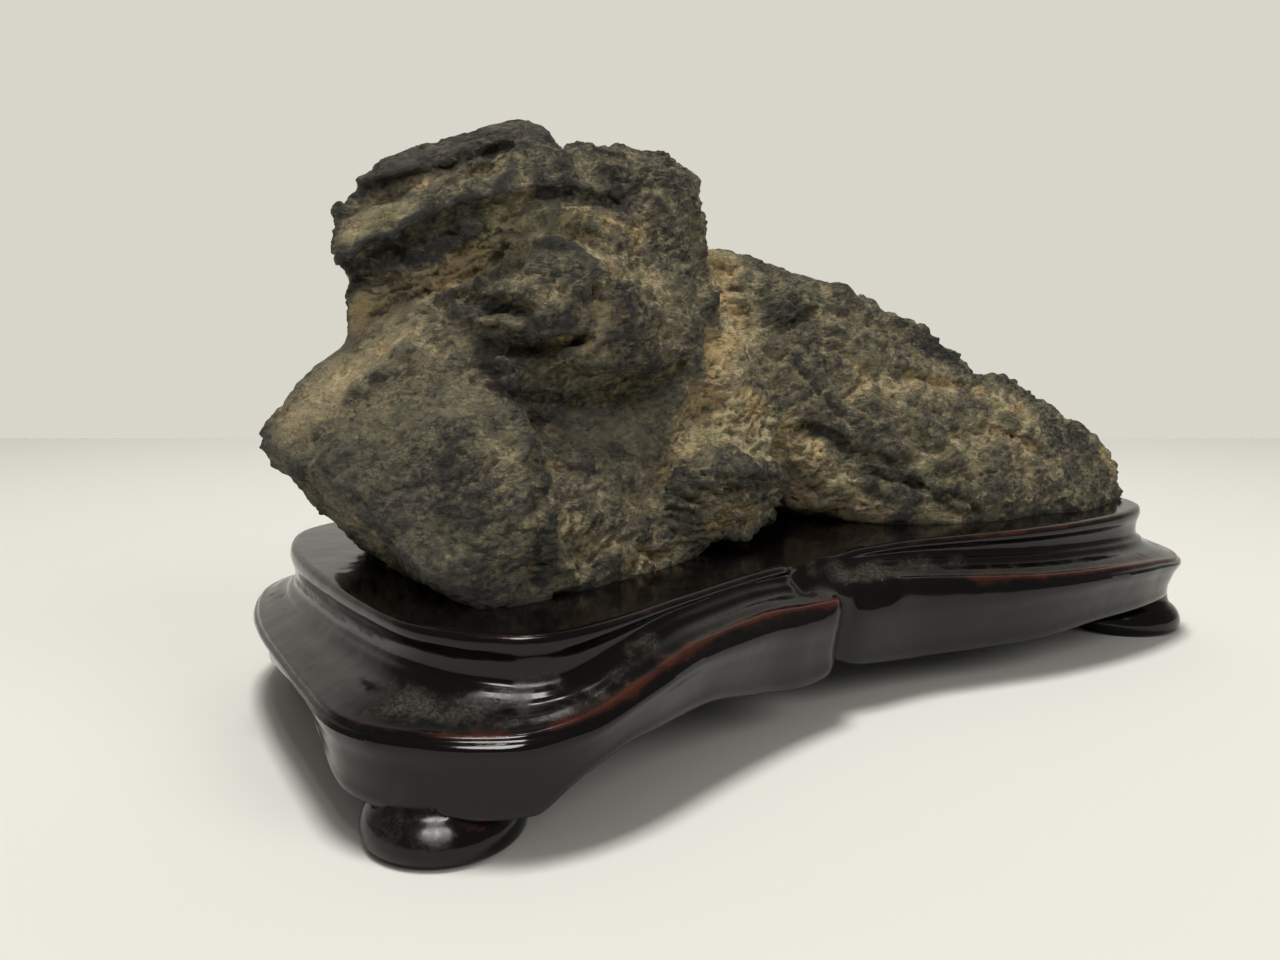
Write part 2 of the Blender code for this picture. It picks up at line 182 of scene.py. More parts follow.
# %% A socket that does sums
class Value:
    def __init__(self, finish, socket):
        self.finish = finish
        self.socket = socket

    def maths(self, operation, first, second):
        return self.finish.node("ShaderNodeMath", {"operation": operation}, {0: first, 1: second})

    def __add__(self, other):
        return self.maths("ADD", self, other)

    def __sub__(self, other):
        return self.maths("SUBTRACT", self, other)

    def __rsub__(self, other):
        return self.maths("SUBTRACT", other, self)

    def __mul__(self, other):
        return self.maths("MULTIPLY", self, other)

    __radd__ = __add__
    __rmul__ = __mul__


# %% A finish that grows node by node
class Finish:
    def __init__(self, name):
        self.material = bpy.data.materials.new(name)
        self.material.use_nodes = True
        self.tree = self.material.node_tree
        self.shader = self.tree.nodes["Principled BSDF"]

    def connect(self, value, socket):
        if isinstance(value, Value):
            self.tree.links.new(value.socket, socket)
        else:
            socket.default_value = value

    def node(self, kind, settings, values, result=0):
        """Adds a node: its settings first, then the values or links of its sockets."""
        made = self.tree.nodes.new(kind)
        for setting, choice in settings.items():
            if setting == "stops":
                self.set_stops(made.color_ramp, choice)
            else:
                setattr(made, setting, choice)
        for socket, value in values.items():
            self.connect(value, made.inputs[socket])
        return Value(self, made.outputs[result])

    def set_stops(self, ramp, stops):
        while len(ramp.elements) < len(stops):
            ramp.elements.new(0.5)
        for element, (place, colour) in zip(ramp.elements, stops):
            element.position = place
            element.color = colour

    def mix(self, share, first, second):
        """Blends two colours: a share of 0 keeps the first, and 1 gives the second."""
        return self.node("ShaderNodeMix", {"data_type": "RGBA"}, {0: share, 6: first, 7: second}, 2)

    def map(self, value, low, high):
        """Stretches low..high to 0..1, and holds it there."""
        return self.node("ShaderNodeMapRange", {"interpolation_type": "SMOOTHSTEP"},
                         {0: value, 1: low, 2: high})

    def painted(self, name):
        """A mask that was painted on the mesh."""
        return self.node("ShaderNodeAttribute", {"attribute_name": name}, {}, "Fac")

    def place(self, per_mm, stretch=(1, 1, 1)):
        """The point on the object, counted in patches per millimetre."""
        here = self.node("ShaderNodeTexCoord", {}, {}, "Object")
        size = tuple(1000 * per_mm * share for share in stretch)
        return self.node("ShaderNodeVectorMath", {"operation": "MULTIPLY"}, {0: here, 1: size})

    def cloud(self, place, detail, rough, wander=0.0):
        """Soft noise between 0 and 1."""
        return self.node("ShaderNodeTexNoise", {},
                         {"Vector": place, "Scale": 1.0, "Detail": detail,
                          "Roughness": rough, "Distortion": wander}, "Fac")

    def cells(self, place, scale, feature, result):
        """Broken pieces: a colour for each, or the distance to the crack between them."""
        return self.node("ShaderNodeTexVoronoi", {"feature": feature},
                         {"Vector": place, "Scale": scale}, result)

    def tinted(self, share, colour, tint):
        """Multiplies a colour by a tint, as far as the share says."""
        return self.node("ShaderNodeMix", {"data_type": "RGBA", "blend_type": "MULTIPLY"},
                         {0: share, 6: colour, 7: tint}, 2)

    def set(self, **values):
        """Sets the shader's sockets, named with underscores for spaces."""
        for name, value in values.items():
            self.connect(value, self.shader.inputs[name.replace("_", " ")])

    def bump(self, height, depth_mm, strength):
        return self.node("ShaderNodeBump", {},
                         {"Height": height, "Distance": depth_mm * MM, "Strength": strength}, "Normal")


# %% [markdown]
# ## Working on the stone's surface
#
# The plain stone has the right masses but a soft skin. It is turned into a fine even mesh
# with a voxel remesh, like clay that takes a tool anywhere. Its points are then moved as
# arrays, which is quick. Neighbours are averaged to smooth a value over the surface.

# %% Mesh tools
def evaluated(obj):
    graph = bpy.context.evaluated_depsgraph_get()
    graph.update()
    return bpy.data.meshes.new_from_object(obj.evaluated_get(graph), depsgraph=graph)


def modified(mesh, kind, tools):
    """The mesh after one modifier for each tool, which is a dictionary of settings."""
    worker = added("worker", mesh)
    for settings in tools:
        modifier = worker.modifiers.new("tool", kind)
        for setting, value in settings.items():
            setattr(modifier, setting, value)
    result = evaluated(worker)
    bpy.data.objects.remove(worker, do_unlink=True)
    return result


def remeshed(mesh, voxel_mm):
    return modified(mesh, "REMESH", [{"mode": "VOXEL", "voxel_size": voxel_mm * MM}])


def read_points(mesh):
    points = np.empty(len(mesh.vertices) * 3)
    mesh.vertices.foreach_get("co", points)
    return points.reshape(-1, 3) / MM


def write_points(mesh, points):
    mesh.vertices.foreach_set("co", (points * MM).ravel())
    mesh.update()


def read_normals(mesh):
    normals = np.empty(len(mesh.vertices) * 3)
    mesh.vertex_normals.foreach_get("vector", normals)
    return normals.reshape(-1, 3)


def read_edges(mesh):
    edges = np.empty(len(mesh.edges) * 2, dtype=np.int64)
    mesh.edges.foreach_get("vertices", edges)
    edges = edges.reshape(-1, 2)
    return np.concatenate([edges, edges[:, ::-1]])


def smoothed(values, edges, passes):
    """Averages each value with its neighbours', over and over."""
    values = values.reshape(len(values), -1)
    count = len(values)
    near = np.bincount(edges[:, 0], minlength=count)[:, None]
    for _ in range(passes):
        total = np.stack([np.bincount(edges[:, 0], column[edges[:, 1]], count) for column in values.T], 1)
        values = 0.5 * (values + total / near)
    return values.squeeze()


def soft_normals(mesh, edges, passes):
    """Which way each point faces, once the small bumps are smoothed out of it."""
    facing = smoothed(read_normals(mesh), edges, passes)
    return facing / np.linalg.norm(facing, axis=1, keepdims=True)


# %% [markdown]
# ## Noise that is shaped like stone
#
# Plain noise makes soft lumps, like dough. A stone breaks along flat faces, its beds snap off
# like shingles, and creases part its lumps. Each has its own helper here, which gives one
# height for each point. Blender's vector noise is drawn from the clock unless it is given a
# seed, so the seed is set first and every run carves the same stone.

# %% Stone noise
NOISE_SEED = 3
FACE_EDGE = 0.35
SHINGLE_LIP = 0.18
noise.seed_set(NOISE_SEED)


def rough(points, wave, octaves=1):
    """Soft noise, with this wavelength in millimetres in each direction."""
    return np.array([noise.fractal(p, 0.8, 2.0, octaves) for p in (points / wave).tolist()])


def creased(points, wave, octaves):
    """Lumps of noise that are parted by sharp creases; the creases are high, so they are taken away."""
    scaled = (points / wave).tolist()
    return np.array([noise.ridged_multi_fractal(p, 1.0, 2.0, octaves, 1.0, 2.0) for p in scaled])


def shaken(points, wave, size):
    """The points moved by noise, so that what is measured from them has an uneven edge."""
    return points + size * np.array([noise.noise_vector(p) for p in (points / wave).tolist()])


def facets(points, wave):
    """Broken faces, each with its own tilt: their height, their tone, and how deep inside one."""
    rows = []
    for place in (points / wave).tolist():
        distances, middles = noise.voronoi(place)
        inside = min(1.0, (distances[1] - distances[0]) / FACE_EDGE)
        tilt = noise.noise_vector(middles[0] * 3.7)
        height = inside * (tilt.dot(Vector(place) - middles[0]) + 0.06)
        rows.append((height, noise.noise(middles[0] * 5.3), inside))
    return np.array(rows).T


def shingles(points, thick, wave):
    """Beds that swell slowly upwards and break off short, like shingles; thick is along z."""
    phase = points[:, 2] / thick + 1.1 * rough(points, wave, 2)
    share = phase - np.floor(phase)
    return np.where(share > SHINGLE_LIP, (1 - share) / (1 - SHINGLE_LIP), share / SHINGLE_LIP) - 0.5


# %% [markdown]
# ## Strokes
#
# A sculptor cuts a ledge or a crack with one pull of a tool across the view. A stroke here is
# the same: a short list of places in the camera's frame, 1280 by 960, that is thrown onto the
# stone along the line of sight. Each has a kind of tool, a depth and a reach in millimetres.
# "push" cuts in, or builds up if the depth is above zero. "under" does so only below its
# line, which leaves a sharp ledge. "plane" shaves off what stands above a flat. The reach is
# measured in the round and not across the view, so a stroke has no effect on what it hides.

# %% Throw a stroke onto the stone
FOCAL = LENS / SENSOR * FRAME_WIDTH
THROW_STEP = 6.0


def sight_line(across, down):
    aim = Vector((across - FRAME_WIDTH / 2, FRAME_HEIGHT / 2 - down, -FOCAL))
    return (turned @ aim).normalized()


def tree_of(mesh, points):
    return BVHTree.FromPolygons(points.tolist(), [face.vertices[:] for face in mesh.polygons])


def thrown(tree, path):
    """The places where a path drawn in the view meets the stone, closely spaced."""
    marks = [path[0]]
    for start, end in zip(path, path[1:]):
        steps = max(1, round(math.dist(start, end) / THROW_STEP))
        for step in range(1, steps + 1):
            share = step / steps
            marks.append((start[0] + share * (end[0] - start[0]), start[1] + share * (end[1] - start[1])))
    found = [tree.ray_cast(EYE / MM, sight_line(*mark))[0] for mark in marks]
    return np.array([place for place in found if place is not None])


def beside(places, line, reach):
    """For the points within reach of a line: which they are, how far off, and how far above it."""
    low, high = line.min(0) - reach, line.max(0) + reach
    chosen = np.flatnonzero(((places > low) & (places < high)).all(1))
    here = places[chosen]
    best = np.full(len(chosen), 1e9)
    above = np.zeros(len(chosen))
    starts, ends = (line[:-1], line[1:]) if len(line) > 1 else (line, line + 0.01)
    for start, end in zip(starts, ends):
        run = end - start
        share = np.clip((here - start) @ run / (run @ run), 0, 1)
        gap = here - (start + share[:, None] * run)
        away = np.linalg.norm(gap, axis=1)
        up = np.cross(run, np.array(EYE) / MM - start)
        side = gap @ (-up / np.linalg.norm(up))
        nearer = away < best
        best[nearer] = away[nearer]
        above[nearer] = side[nearer]
    return chosen, best, above


# %% [markdown]
# A tool is strongest on its line and fades out to its reach, which a smooth falloff copies.
# Real stone doesn't part evenly, so each stroke measures from points that noise has shaken,
# and its depth wavers along the way.

# %% Tools
LEDGE_EDGE = 0.6
STAND_TOP = 23.4


def faded(away, reach):
    """From 1 in the middle of a stroke to 0 at its reach."""
    return np.clip(1 - (away / reach) ** 2, 0, 1) ** 2


def tool_mark(kind, away, above, reach):
    """The shape that a tool leaves: all round its line, or only below it."""
    mark = faded(away, reach)
    return mark * np.clip(0.5 - above / LEDGE_EDGE, 0, 1) if kind == "under" else mark


def planed(points, normals, weight, lift):
    """Cuts off what stands above a plane through the place, as a plane or a clean break does."""
    share = (weight / weight.sum())[:, None]
    facing = (normals * share).sum(0)
    facing /= np.linalg.norm(facing)
    proud = (points - (points * share).sum(0)) @ facing - lift
    return -(np.maximum(proud, 0) * np.minimum(1, 4 * weight))[:, None] * facing


def above_seat(before, after):
    """Leaves the part of the stone that sits in the stand as it was."""
    free = np.clip((before[:, 2] - STAND_TOP + 0.3) / 1.5, 0, 1)[:, None]
    return before + free * (after - before)


def sculpted(mesh, strokes, edges):
    """The stone's points after every stroke, one after another."""
    points = read_points(mesh)
    normals = soft_normals(mesh, edges, 12)
    tree = tree_of(mesh, points)
    places = shaken(shaken(points, 3.2, 0.7), 1.1, 0.3)
    uneven = 1 + 0.35 * rough(points, 2.6)
    for name, (kind, depth, reach, path) in strokes.items():
        line = thrown(tree, path)
        if not len(line):
            print("missed:", name)
            continue
        chosen, away, above = beside(places, line, reach)
        mark = tool_mark(kind, away, above, reach)
        if kind == "plane":
            points[chosen] += planed(points[chosen], normals[chosen], mark, depth)
        else:
            points[chosen] += normals[chosen] * (depth * uneven[chosen] * mark)[:, None]
    return points


# %% [markdown]
# ## The big forms
#
# The head is a stack of tilted slabs with a deep undercut between them. Below it the nose
# bulges out over a smooth hollow, and the long right slope runs down in broken steps. These
# are cut first on a middling mesh, and the stone is remeshed after them, so that the
# stretched places get new points.

# %% Strokes for the big forms
BIG_STROKES = {
    "top slab face": ("plane", 0.1, 6.5, [(372, 172), (430, 150), (490, 131), (535, 127)]),
    "middle plane": ("plane", 0.0, 5.0, [(342, 238), (372, 215), (410, 204)]),
    "boulder shoulder": ("plane", 0.2, 9.0, [(298, 422), (330, 390), (365, 356), (400, 330), (432, 314)]),
    "boulder front": ("plane", 0.3, 10.0, [(350, 455), (400, 425), (440, 395)]),
    "boulder low front": ("plane", 0.5, 10.0, [(380, 520), (430, 500), (470, 470)]),
    "nose front": ("plane", 0.3, 4.5, [(525, 285), (560, 296)]),
    "nose right": ("plane", 0.4, 6.0, [(620, 250), (650, 290)]),
    "lobe face": ("plane", 0.3, 5.0, [(612, 360), (650, 345)]),
    "second block face": ("plane", 0.2, 6.0, [(640, 175), (680, 215)]),
    "second block side": ("push", -1.6, 3.4, [(700, 222), (702, 250), (706, 280)]),
    "second block corner": ("push", -1.4, 3.2, [(655, 156), (692, 160)]),
    "head corner": ("push", 1.2, 3.4, [(346, 240), (350, 262), (352, 282)]),
    "lump belly": ("push", 1.6, 4.2, [(768, 506), (748, 524), (722, 544)]),
    "base recess": ("push", -2.4, 5.5, [(572, 470), (580, 510), (590, 545)]),
    "base recess right": ("push", -1.6, 5.0, [(640, 500), (640, 535)]),
    "boulder right crack": ("push", -2.2, 1.7, [(538, 440), (543, 470), (546, 510), (543, 550), (540, 585)]),
    "clay face": ("push", 2.4, 5.5, [(812, 466), (822, 485), (800, 495)]),
    "second block top": ("plane", 0.1, 6.0, [(590, 156), (640, 152), (680, 168)]),
    "lump face": ("plane", 0.1, 4.5, [(690, 505), (740, 510), (775, 500)]),
    "small block face": ("plane", 0.1, 5.0, [(590, 500), (610, 520)]),
    "slope upper": ("plane", 0.6, 6.0, [(830, 350), (880, 380), (920, 400)]),
    "slope skyline": ("push", 2.0, 4.5, [(840, 300), (880, 318), (915, 338), (945, 358)]),
    "pit by the block": ("push", 3.4, 3.4, [(576, 232), (582, 230)]),
    "slope lower": ("plane", 0.3, 8.0, [(880, 420), (940, 430), (1000, 440)]),
    "end face": ("plane", 0.2, 6.0, [(1040, 470), (1090, 480)]),
    "slab undercut": ("under", -2.6, 3.6,
                      [(334, 208), (350, 190), (385, 180), (412, 169), (440, 161), (470, 151), (500, 142)]),
    "slab undercut end": ("push", -1.0, 3.0, [(342, 200), (365, 193), (390, 188)]),
    "slab cave": ("push", -3.0, 2.2, [(462, 166), (480, 158), (498, 150)]),
    "slab recess": ("push", -0.7, 3.0, [(380, 198), (420, 184), (460, 174), (500, 166)]),
    "polished ridge": ("push", 1.0, 2.0, [(494, 200), (503, 182), (512, 166), (522, 150)]),
    "middle plane edge": ("push", 0.7, 1.8, [(346, 254), (366, 241), (398, 230), (414, 220)]),
    "under the head": ("under", -3.2, 4.4,
                       [(346, 264), (366, 246), (398, 236), (416, 228), (432, 216), (455, 209), (498, 200)]),
    "under the head, deep": ("push", -2.0, 3.0, [(405, 258), (430, 248), (452, 234)]),
    "head foot notch": ("push", -1.6, 1.6, [(370, 279), (392, 280)]),
    "behind the ridge": ("push", -1.6, 3.0, [(530, 205), (545, 190), (560, 176)]),
    "second block hollow": ("under", -2.2, 3.2, [(542, 188), (570, 190), (600, 194), (618, 200)]),
    "second block notch": ("push", -2.0, 1.4, [(694, 199), (703, 201)]),
    "neck band": ("push", -1.1, 3.0, [(356, 322), (390, 298), (440, 278), (480, 262), (512, 232)]),
    "nose hump": ("push", 0.8, 3.4, [(528, 248), (552, 242), (580, 254), (594, 274)]),
    "upper cave": ("under", -2.4, 2.4, [(476, 300), (500, 298), (524, 304)]),
    "upper cave floor": ("push", -1.2, 1.6, [(484, 309), (504, 309), (520, 313)]),
    "block left side": ("push", -1.2, 1.5, [(531, 314), (527, 330), (520, 344)]),
    "block face": ("plane", 0.1, 2.8, [(548, 322), (566, 330)]),
    "lower cave": ("under", -3.2, 3.0, [(500, 342), (525, 346), (552, 345), (582, 337)]),
    "lower cave floor": ("push", -1.8, 2.0, [(524, 356), (548, 356), (566, 350)]),
    "left cave": ("push", -2.6, 2.0, [(481, 344), (478, 358), (488, 372)]),
    "cave lintel": ("push", 1.0, 1.3, [(479, 322), (500, 321), (516, 328)]),
    "cave shelf": ("push", 1.2, 1.4, [(495, 361), (514, 361)]),
    "cave ridge": ("push", 1.3, 1.5, [(540, 368), (560, 363), (580, 354), (599, 339)]),
    "nose lower edge": ("under", -1.8, 3.2,
                        [(484, 374), (512, 386), (545, 398), (590, 396), (640, 384), (676, 362)]),
    "hollow": ("push", -1.8, 7.0, [(590, 425), (622, 418), (645, 400)]),
    "small block top": ("under", 0.8, 2.4, [(620, 458), (590, 460), (552, 457)]),
    "small block crack": ("push", -1.4, 1.2, [(544, 461), (556, 478), (562, 488), (556, 500), (566, 516)]),
    "lump foot": ("push", -1.2, 2.4, [(664, 470), (656, 500), (660, 530)]),
    "lump top": ("push", 0.6, 2.4, [(735, 466), (765, 466), (788, 482)]),
    "valley": ("push", -1.1, 4.6, [(716, 262), (726, 310), (716, 360), (700, 410), (684, 440)]),
    "valley left wall": ("push", -1.0, 2.6, [(700, 305), (716, 330), (712, 360)]),
    "slope cave": ("under", -2.2, 2.6, [(780, 326), (798, 314), (814, 308)]),
    "slope rib": ("push", 0.8, 3.4, [(796, 356), (812, 374), (830, 400), (846, 412)]),
    "rib cave": ("under", -2.2, 2.2, [(806, 426), (826, 429), (844, 440)]),
    "right hollow": ("push", -0.9, 5.0, [(870, 384), (905, 384), (940, 382)]),
    "slope break": ("under", -1.3, 3.0, [(846, 444), (870, 456), (905, 458), (940, 446)]),
    "low cave": ("under", -1.8, 2.4, [(860, 468), (890, 472), (916, 480)]),
    "low block face": ("plane", 0.1, 3.4, [(858, 450), (885, 448)]),
    "low rib": ("push", 0.9, 2.0, [(905, 512), (920, 498), (940, 486)]),
    "skyline notch": ("push", -1.2, 1.6, [(980, 377), (990, 381)]),
    "base slot": ("push", -1.3, 1.5, [(1086, 510), (1106, 508)]),
    "skyline block shade": ("under", -1.8, 2.6, [(902, 364), (935, 374), (975, 385)]),
    "far block face": ("plane", 0.1, 6.0, [(1000, 395), (1030, 415)]),
    "near block face": ("plane", 0.0, 5.5, [(960, 440), (1000, 450)]),
    "near block edge": ("under", -1.5, 2.8, [(950, 430), (985, 424), (1020, 432), (1050, 452)]),
    "block foot": ("under", -1.6, 2.4, [(916, 482), (940, 496), (958, 508)]),
    "valley crack": ("push", -1.4, 1.8, [(722, 262), (738, 290), (742, 330)]),
    "olive block edge": ("under", -1.4, 2.4, [(846, 352), (880, 372), (900, 392)]),
    "base cave": ("push", -2.0, 1.6, [(646, 550), (664, 556)]),
    "base cave low": ("push", -1.6, 1.1, [(634, 566), (646, 568)]),
    "boulder ridge": ("push", 0.7, 2.6, [(327, 426), (374, 378), (403, 353), (436, 331), (464, 316)]),
    "boulder under face": ("push", -0.7, 3.4, [(316, 480), (345, 510), (380, 545), (400, 570)]),
}
print("strokes for the big forms:", len(BIG_STROKES))

# %% Cut the big forms
CLAY_VOXEL = 0.75
FINE_VOXEL = 0.32

clay = remeshed(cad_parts["stone"].data.copy(), CLAY_VOXEL)
clay_edges = read_edges(clay)
write_points(clay, smoothed(read_points(clay), clay_edges, 3))
write_points(clay, above_seat(read_points(clay), sculpted(clay, BIG_STROKES, clay_edges)))
stone_mesh = remeshed(clay, FINE_VOXEL)
print("stone points after the big forms:", len(stone_mesh.vertices))

# %% [markdown]
# ## Edges, cracks and holes
#
# The fine mesh takes the sharp work: crisp edges under the ledges, cracks, small holes, and
# the folds of the neck. These are strokes again, now with a reach of a millimetre or two. A
# bump in the material could draw them too, but only a true cut throws a shadow into itself.

# %% Strokes for the sharp work
FINE_STROKES = {
    "slab edge": ("under", -2.0, 2.1,
                  [(336, 206), (350, 189), (385, 179), (412, 168), (440, 160), (500, 142)]),
    "slab cave edge": ("under", -1.6, 1.6, [(440, 163), (462, 158), (494, 142)]),
    "head edge": ("under", -2.1, 2.4,
                  [(346, 262), (366, 244), (398, 234), (416, 226), (432, 214), (455, 207), (498, 198)]),
    "upper cave edge": ("under", -1.2, 1.4, [(476, 298), (500, 296), (526, 302)]),
    "lower cave edge": ("under", -1.2, 1.6, [(500, 340), (525, 344), (552, 343), (582, 335)]),
    "cave ridge edge": ("under", -1.0, 1.4, [(540, 372), (562, 367), (584, 358), (606, 342)]),
    "lintel edge": ("under", -0.8, 1.2, [(478, 326), (500, 326), (516, 333)]),
    "hump edge": ("under", -0.8, 1.6, [(520, 270), (545, 276), (575, 290), (594, 300)]),
    "nose seam": ("push", -0.7, 0.8, [(599, 262), (602, 284), (600, 310), (596, 330)]),
    "hollow edge": ("under", -1.0, 2.0,
                    [(480, 378), (512, 390), (545, 402), (590, 400), (640, 388), (676, 366)]),
    "block hollow edge": ("under", -1.0, 1.6, [(542, 186), (570, 188), (600, 192), (620, 199)]),
    "small block edge": ("under", -0.8, 1.4, [(620, 470), (590, 473), (552, 470)]),
    "lump edge": ("under", -0.8, 1.4, [(668, 480), (700, 470), (735, 474), (770, 484), (792, 498)]),
    "slope cave edge": ("under", -1.0, 1.4, [(780, 326), (798, 314), (814, 308)]),
    "rib edge": ("under", -1.0, 1.6, [(800, 366), (818, 386), (834, 406), (848, 418)]),
    "rib cave edge": ("under", -1.2, 1.6, [(800, 424), (826, 428), (848, 440)]),
    "slope ledge": ("under", -0.8, 1.6, [(856, 472), (880, 474), (905, 482)]),
    "slope break edge": ("under", -0.8, 1.8, [(846, 444), (870, 456), (905, 458), (940, 446)]),
    "low ledge": ("under", -0.8, 1.4, [(938, 474), (970, 472), (1020, 468)]),
    "neck fold one": ("under", -1.2, 1.4, [(372, 312), (400, 296), (440, 282), (476, 266)]),
    "neck fold two": ("under", -1.2, 1.4, [(400, 318), (436, 302), (470, 290), (500, 270)]),
    "neck fold three": ("under", -1.1, 1.3, [(392, 290), (424, 272), (452, 256), (486, 232)]),
    "nose fold": ("under", -0.8, 1.2, [(604, 250), (630, 268), (650, 296), (660, 326)]),
    "neck crack": ("push", -1.3, 0.8, [(481, 273), (492, 262), (504, 248)]),
    "neck seam": ("push", -0.5, 0.6, [(420, 292), (446, 288), (470, 282)]),
    "neck pit": ("push", -0.9, 0.7, [(443, 284)]),
    "neck pit left": ("push", -0.8, 0.6, [(428, 277)]),
    "slab foot crack": ("push", -0.8, 0.8, [(455, 213), (474, 204), (498, 199)]),
    "head hole": ("push", -1.6, 1.1, [(450, 233), (458, 229)]),
    "nose arc": ("push", -0.6, 0.6, [(543, 254), (552, 249), (556, 252)]),
    "nose hole": ("push", -1.3, 1.1, [(602, 288), (603, 296)]),
    "lobe crack": ("push", -0.7, 0.7, [(606, 300), (602, 312)]),
    "bed one": ("under", -1.3, 1.2, [(670, 489), (690, 494), (715, 492), (738, 489)]),
    "bed two": ("under", -1.2, 1.2, [(664, 506), (690, 511), (722, 507)]),
    "bed three": ("under", -1.1, 1.1, [(668, 519), (700, 522), (735, 520)]),
    "bed four": ("under", -1.0, 1.0, [(672, 532), (705, 534), (740, 530)]),
    "lump crack": ("push", -0.8, 0.7, [(742, 474), (760, 480), (775, 482)]),
    "boulder crack": ("push", -0.7, 0.7, [(350, 494), (368, 506)]),
    "boulder pits": ("push", -0.9, 0.9, [(372, 526), (386, 538), (396, 552)]),
    "boulder side crack": ("push", -0.8, 0.9, [(462, 453), (472, 464), (482, 468)]),
    "boulder side pit": ("push", -0.8, 1.0, [(484, 472), (494, 462)]),
    "second block pit": ("push", -1.0, 1.2, [(735, 268), (736, 288)]),
    "hollow dot": ("push", -0.6, 0.5, [(588, 429)]),
    "low crack": ("push", -1.2, 0.9, [(946, 492), (962, 499), (980, 513)]),
}
print("strokes for the sharp work:", len(FINE_STROKES))

# %% Cut the sharp work
edges = read_edges(stone_mesh)
plain_points = smoothed(read_points(stone_mesh), edges, 2)
write_points(stone_mesh, plain_points)
points = sculpted(stone_mesh, FINE_STROKES, edges)
write_points(stone_mesh, points)
print("deepest cut, mm:", np.linalg.norm(points - plain_points, axis=1).max().round(2))

# %% [markdown]
# ## The skin
#
# A real stone has no smooth place. Large and small broken faces give it angles, shingles
# show its tilted beds, creases and pits were eaten out by water. They are added up as one
# height for each point, so the outline of the stone is as rough as its face. The long right
# slope is broken a little coarser than the head. One mask, painted with strokes, keeps hard
# smooth faces quiet, and another brings out the beds where they flake.

# %% Paint where the skin is quiet and where it flakes
QUIET_STROKES = {
    "middle plane": (0.9, 5.0, [(345, 235), (365, 218), (395, 206)]),
    "hollow": (1.0, 6.0, [(585, 425), (620, 425), (652, 410)]),
    "boulder shoulder": (0.9, 8.0, [(300, 420), (330, 395), (365, 360), (400, 330)]),
    "boulder front": (0.5, 9.0, [(340, 460), (400, 500), (450, 560)]),
    "slab top": (0.8, 6.0, [(370, 175), (430, 150), (490, 128), (530, 125)]),
    "boulder edge": (1.0, 7.0, [(284, 440), (300, 412), (330, 368), (356, 330)]),
    "boulder middle": (0.7, 9.0, [(350, 440), (400, 420), (450, 400)]),
    "nose hump": (0.4, 4.0, [(530, 245), (560, 240), (590, 262)]),
}
FLAKY_STROKES = {
    "lump": (2.2, 6.5, [(690, 500), (730, 505), (775, 495)]),
    "second block": (0.9, 8.0, [(610, 160), (650, 190), (670, 240)]),
    "lobe": (0.8, 8.0, [(630, 290), (640, 340)]),
    "base": (1.3, 7.0, [(570, 540), (630, 545), (680, 540)]),
    "neck": (1.4, 5.0, [(380, 300), (430, 275), (480, 240)]),
    "valley": (0.7, 7.0, [(740, 400), (790, 430)]),
}


def painted(strokes, places, tree):
    """A mask that is the strongest of its strokes at each point."""
    mask = np.zeros(len(places))
    for name, (amount, reach, path) in strokes.items():
        line = thrown(tree, path)
        if not len(line):
            print("missed:", name)
            continue
        chosen, away, _ = beside(places, line, reach)
        mask[chosen] = np.maximum(mask[chosen], amount * faded(away, reach))
    return mask


normals = soft_normals(stone_mesh, edges, 9)
loose = shaken(points, 4.0, 1.2)
tree = tree_of(stone_mesh, points)
quiet = painted(QUIET_STROKES, loose, tree)
flaky = painted(FLAKY_STROKES, loose, tree) + np.clip(0.5 + 1.5 * rough(points, 11.0), 0.1, 0.9)
print("quiet, on average:", quiet.mean().round(2), " flaky:", flaky.mean().round(2))

# %% Roughen the skin
MOST_PROUD = 1.3
BED_TILT = np.array([[0.94, 0.10, 0.32], [0.0, 1.0, 0.0], [-0.33, 0.0, 0.94]])
beds = points @ BED_TILT.T
warped = shaken(beds, 7.0, 1.6)
large_height, large_tone, _ = facets(warped, (6.5, 6.5, 4.0))
small_height, small_tone, small_inside = facets(warped, (2.4, 2.4, 1.3))
coarse = 1 + 0.2 * np.clip((points[:, 0] + 5) / 25, 0, 1)
skin = {
    "lumps": (0.50, rough(points, 8.0, 2)),
    "broken faces": (2.8, large_height * coarse),
    "small broken faces": (1.1, small_height),
    "thick shingles": (0.50, shingles(warped, 2.6, (6.0, 6.0, 3.0)) * flaky),
    "thin shingles": (0.30, shingles(warped, 1.15, (3.0, 3.0, 2.0)) * flaky),
    "creases": (-0.30, creased(warped, (4.2, 4.2, 2.4), 3) * (0.5 + 0.5 * coarse)),
    "knobs": (0.10, rough(points, 1.3, 2)),
    "pits": (-0.8, np.clip(rough(points, (1.7, 1.7, 1.2), 2) - 0.30, 0, 1)),
}
for name, (size, values) in skin.items():
    print(name, "mm:", (size * values.std()).round(3))

height = sum(size * values for size, values in skin.values()) * (1 - 0.75 * quiet)
height -= height.mean()
height = np.minimum(height, MOST_PROUD)
seated = np.clip((points[:, 2] - STAND_TOP + 0.6) / 1.6, 0, 1)
height = np.where(seated < 1, np.minimum(height, 0.9 * height * seated), height)
points = points + normals * height[:, None]
write_points(stone_mesh, points)
print("stone height added, mm:", height.min().round(2), "to", height.max().round(2))
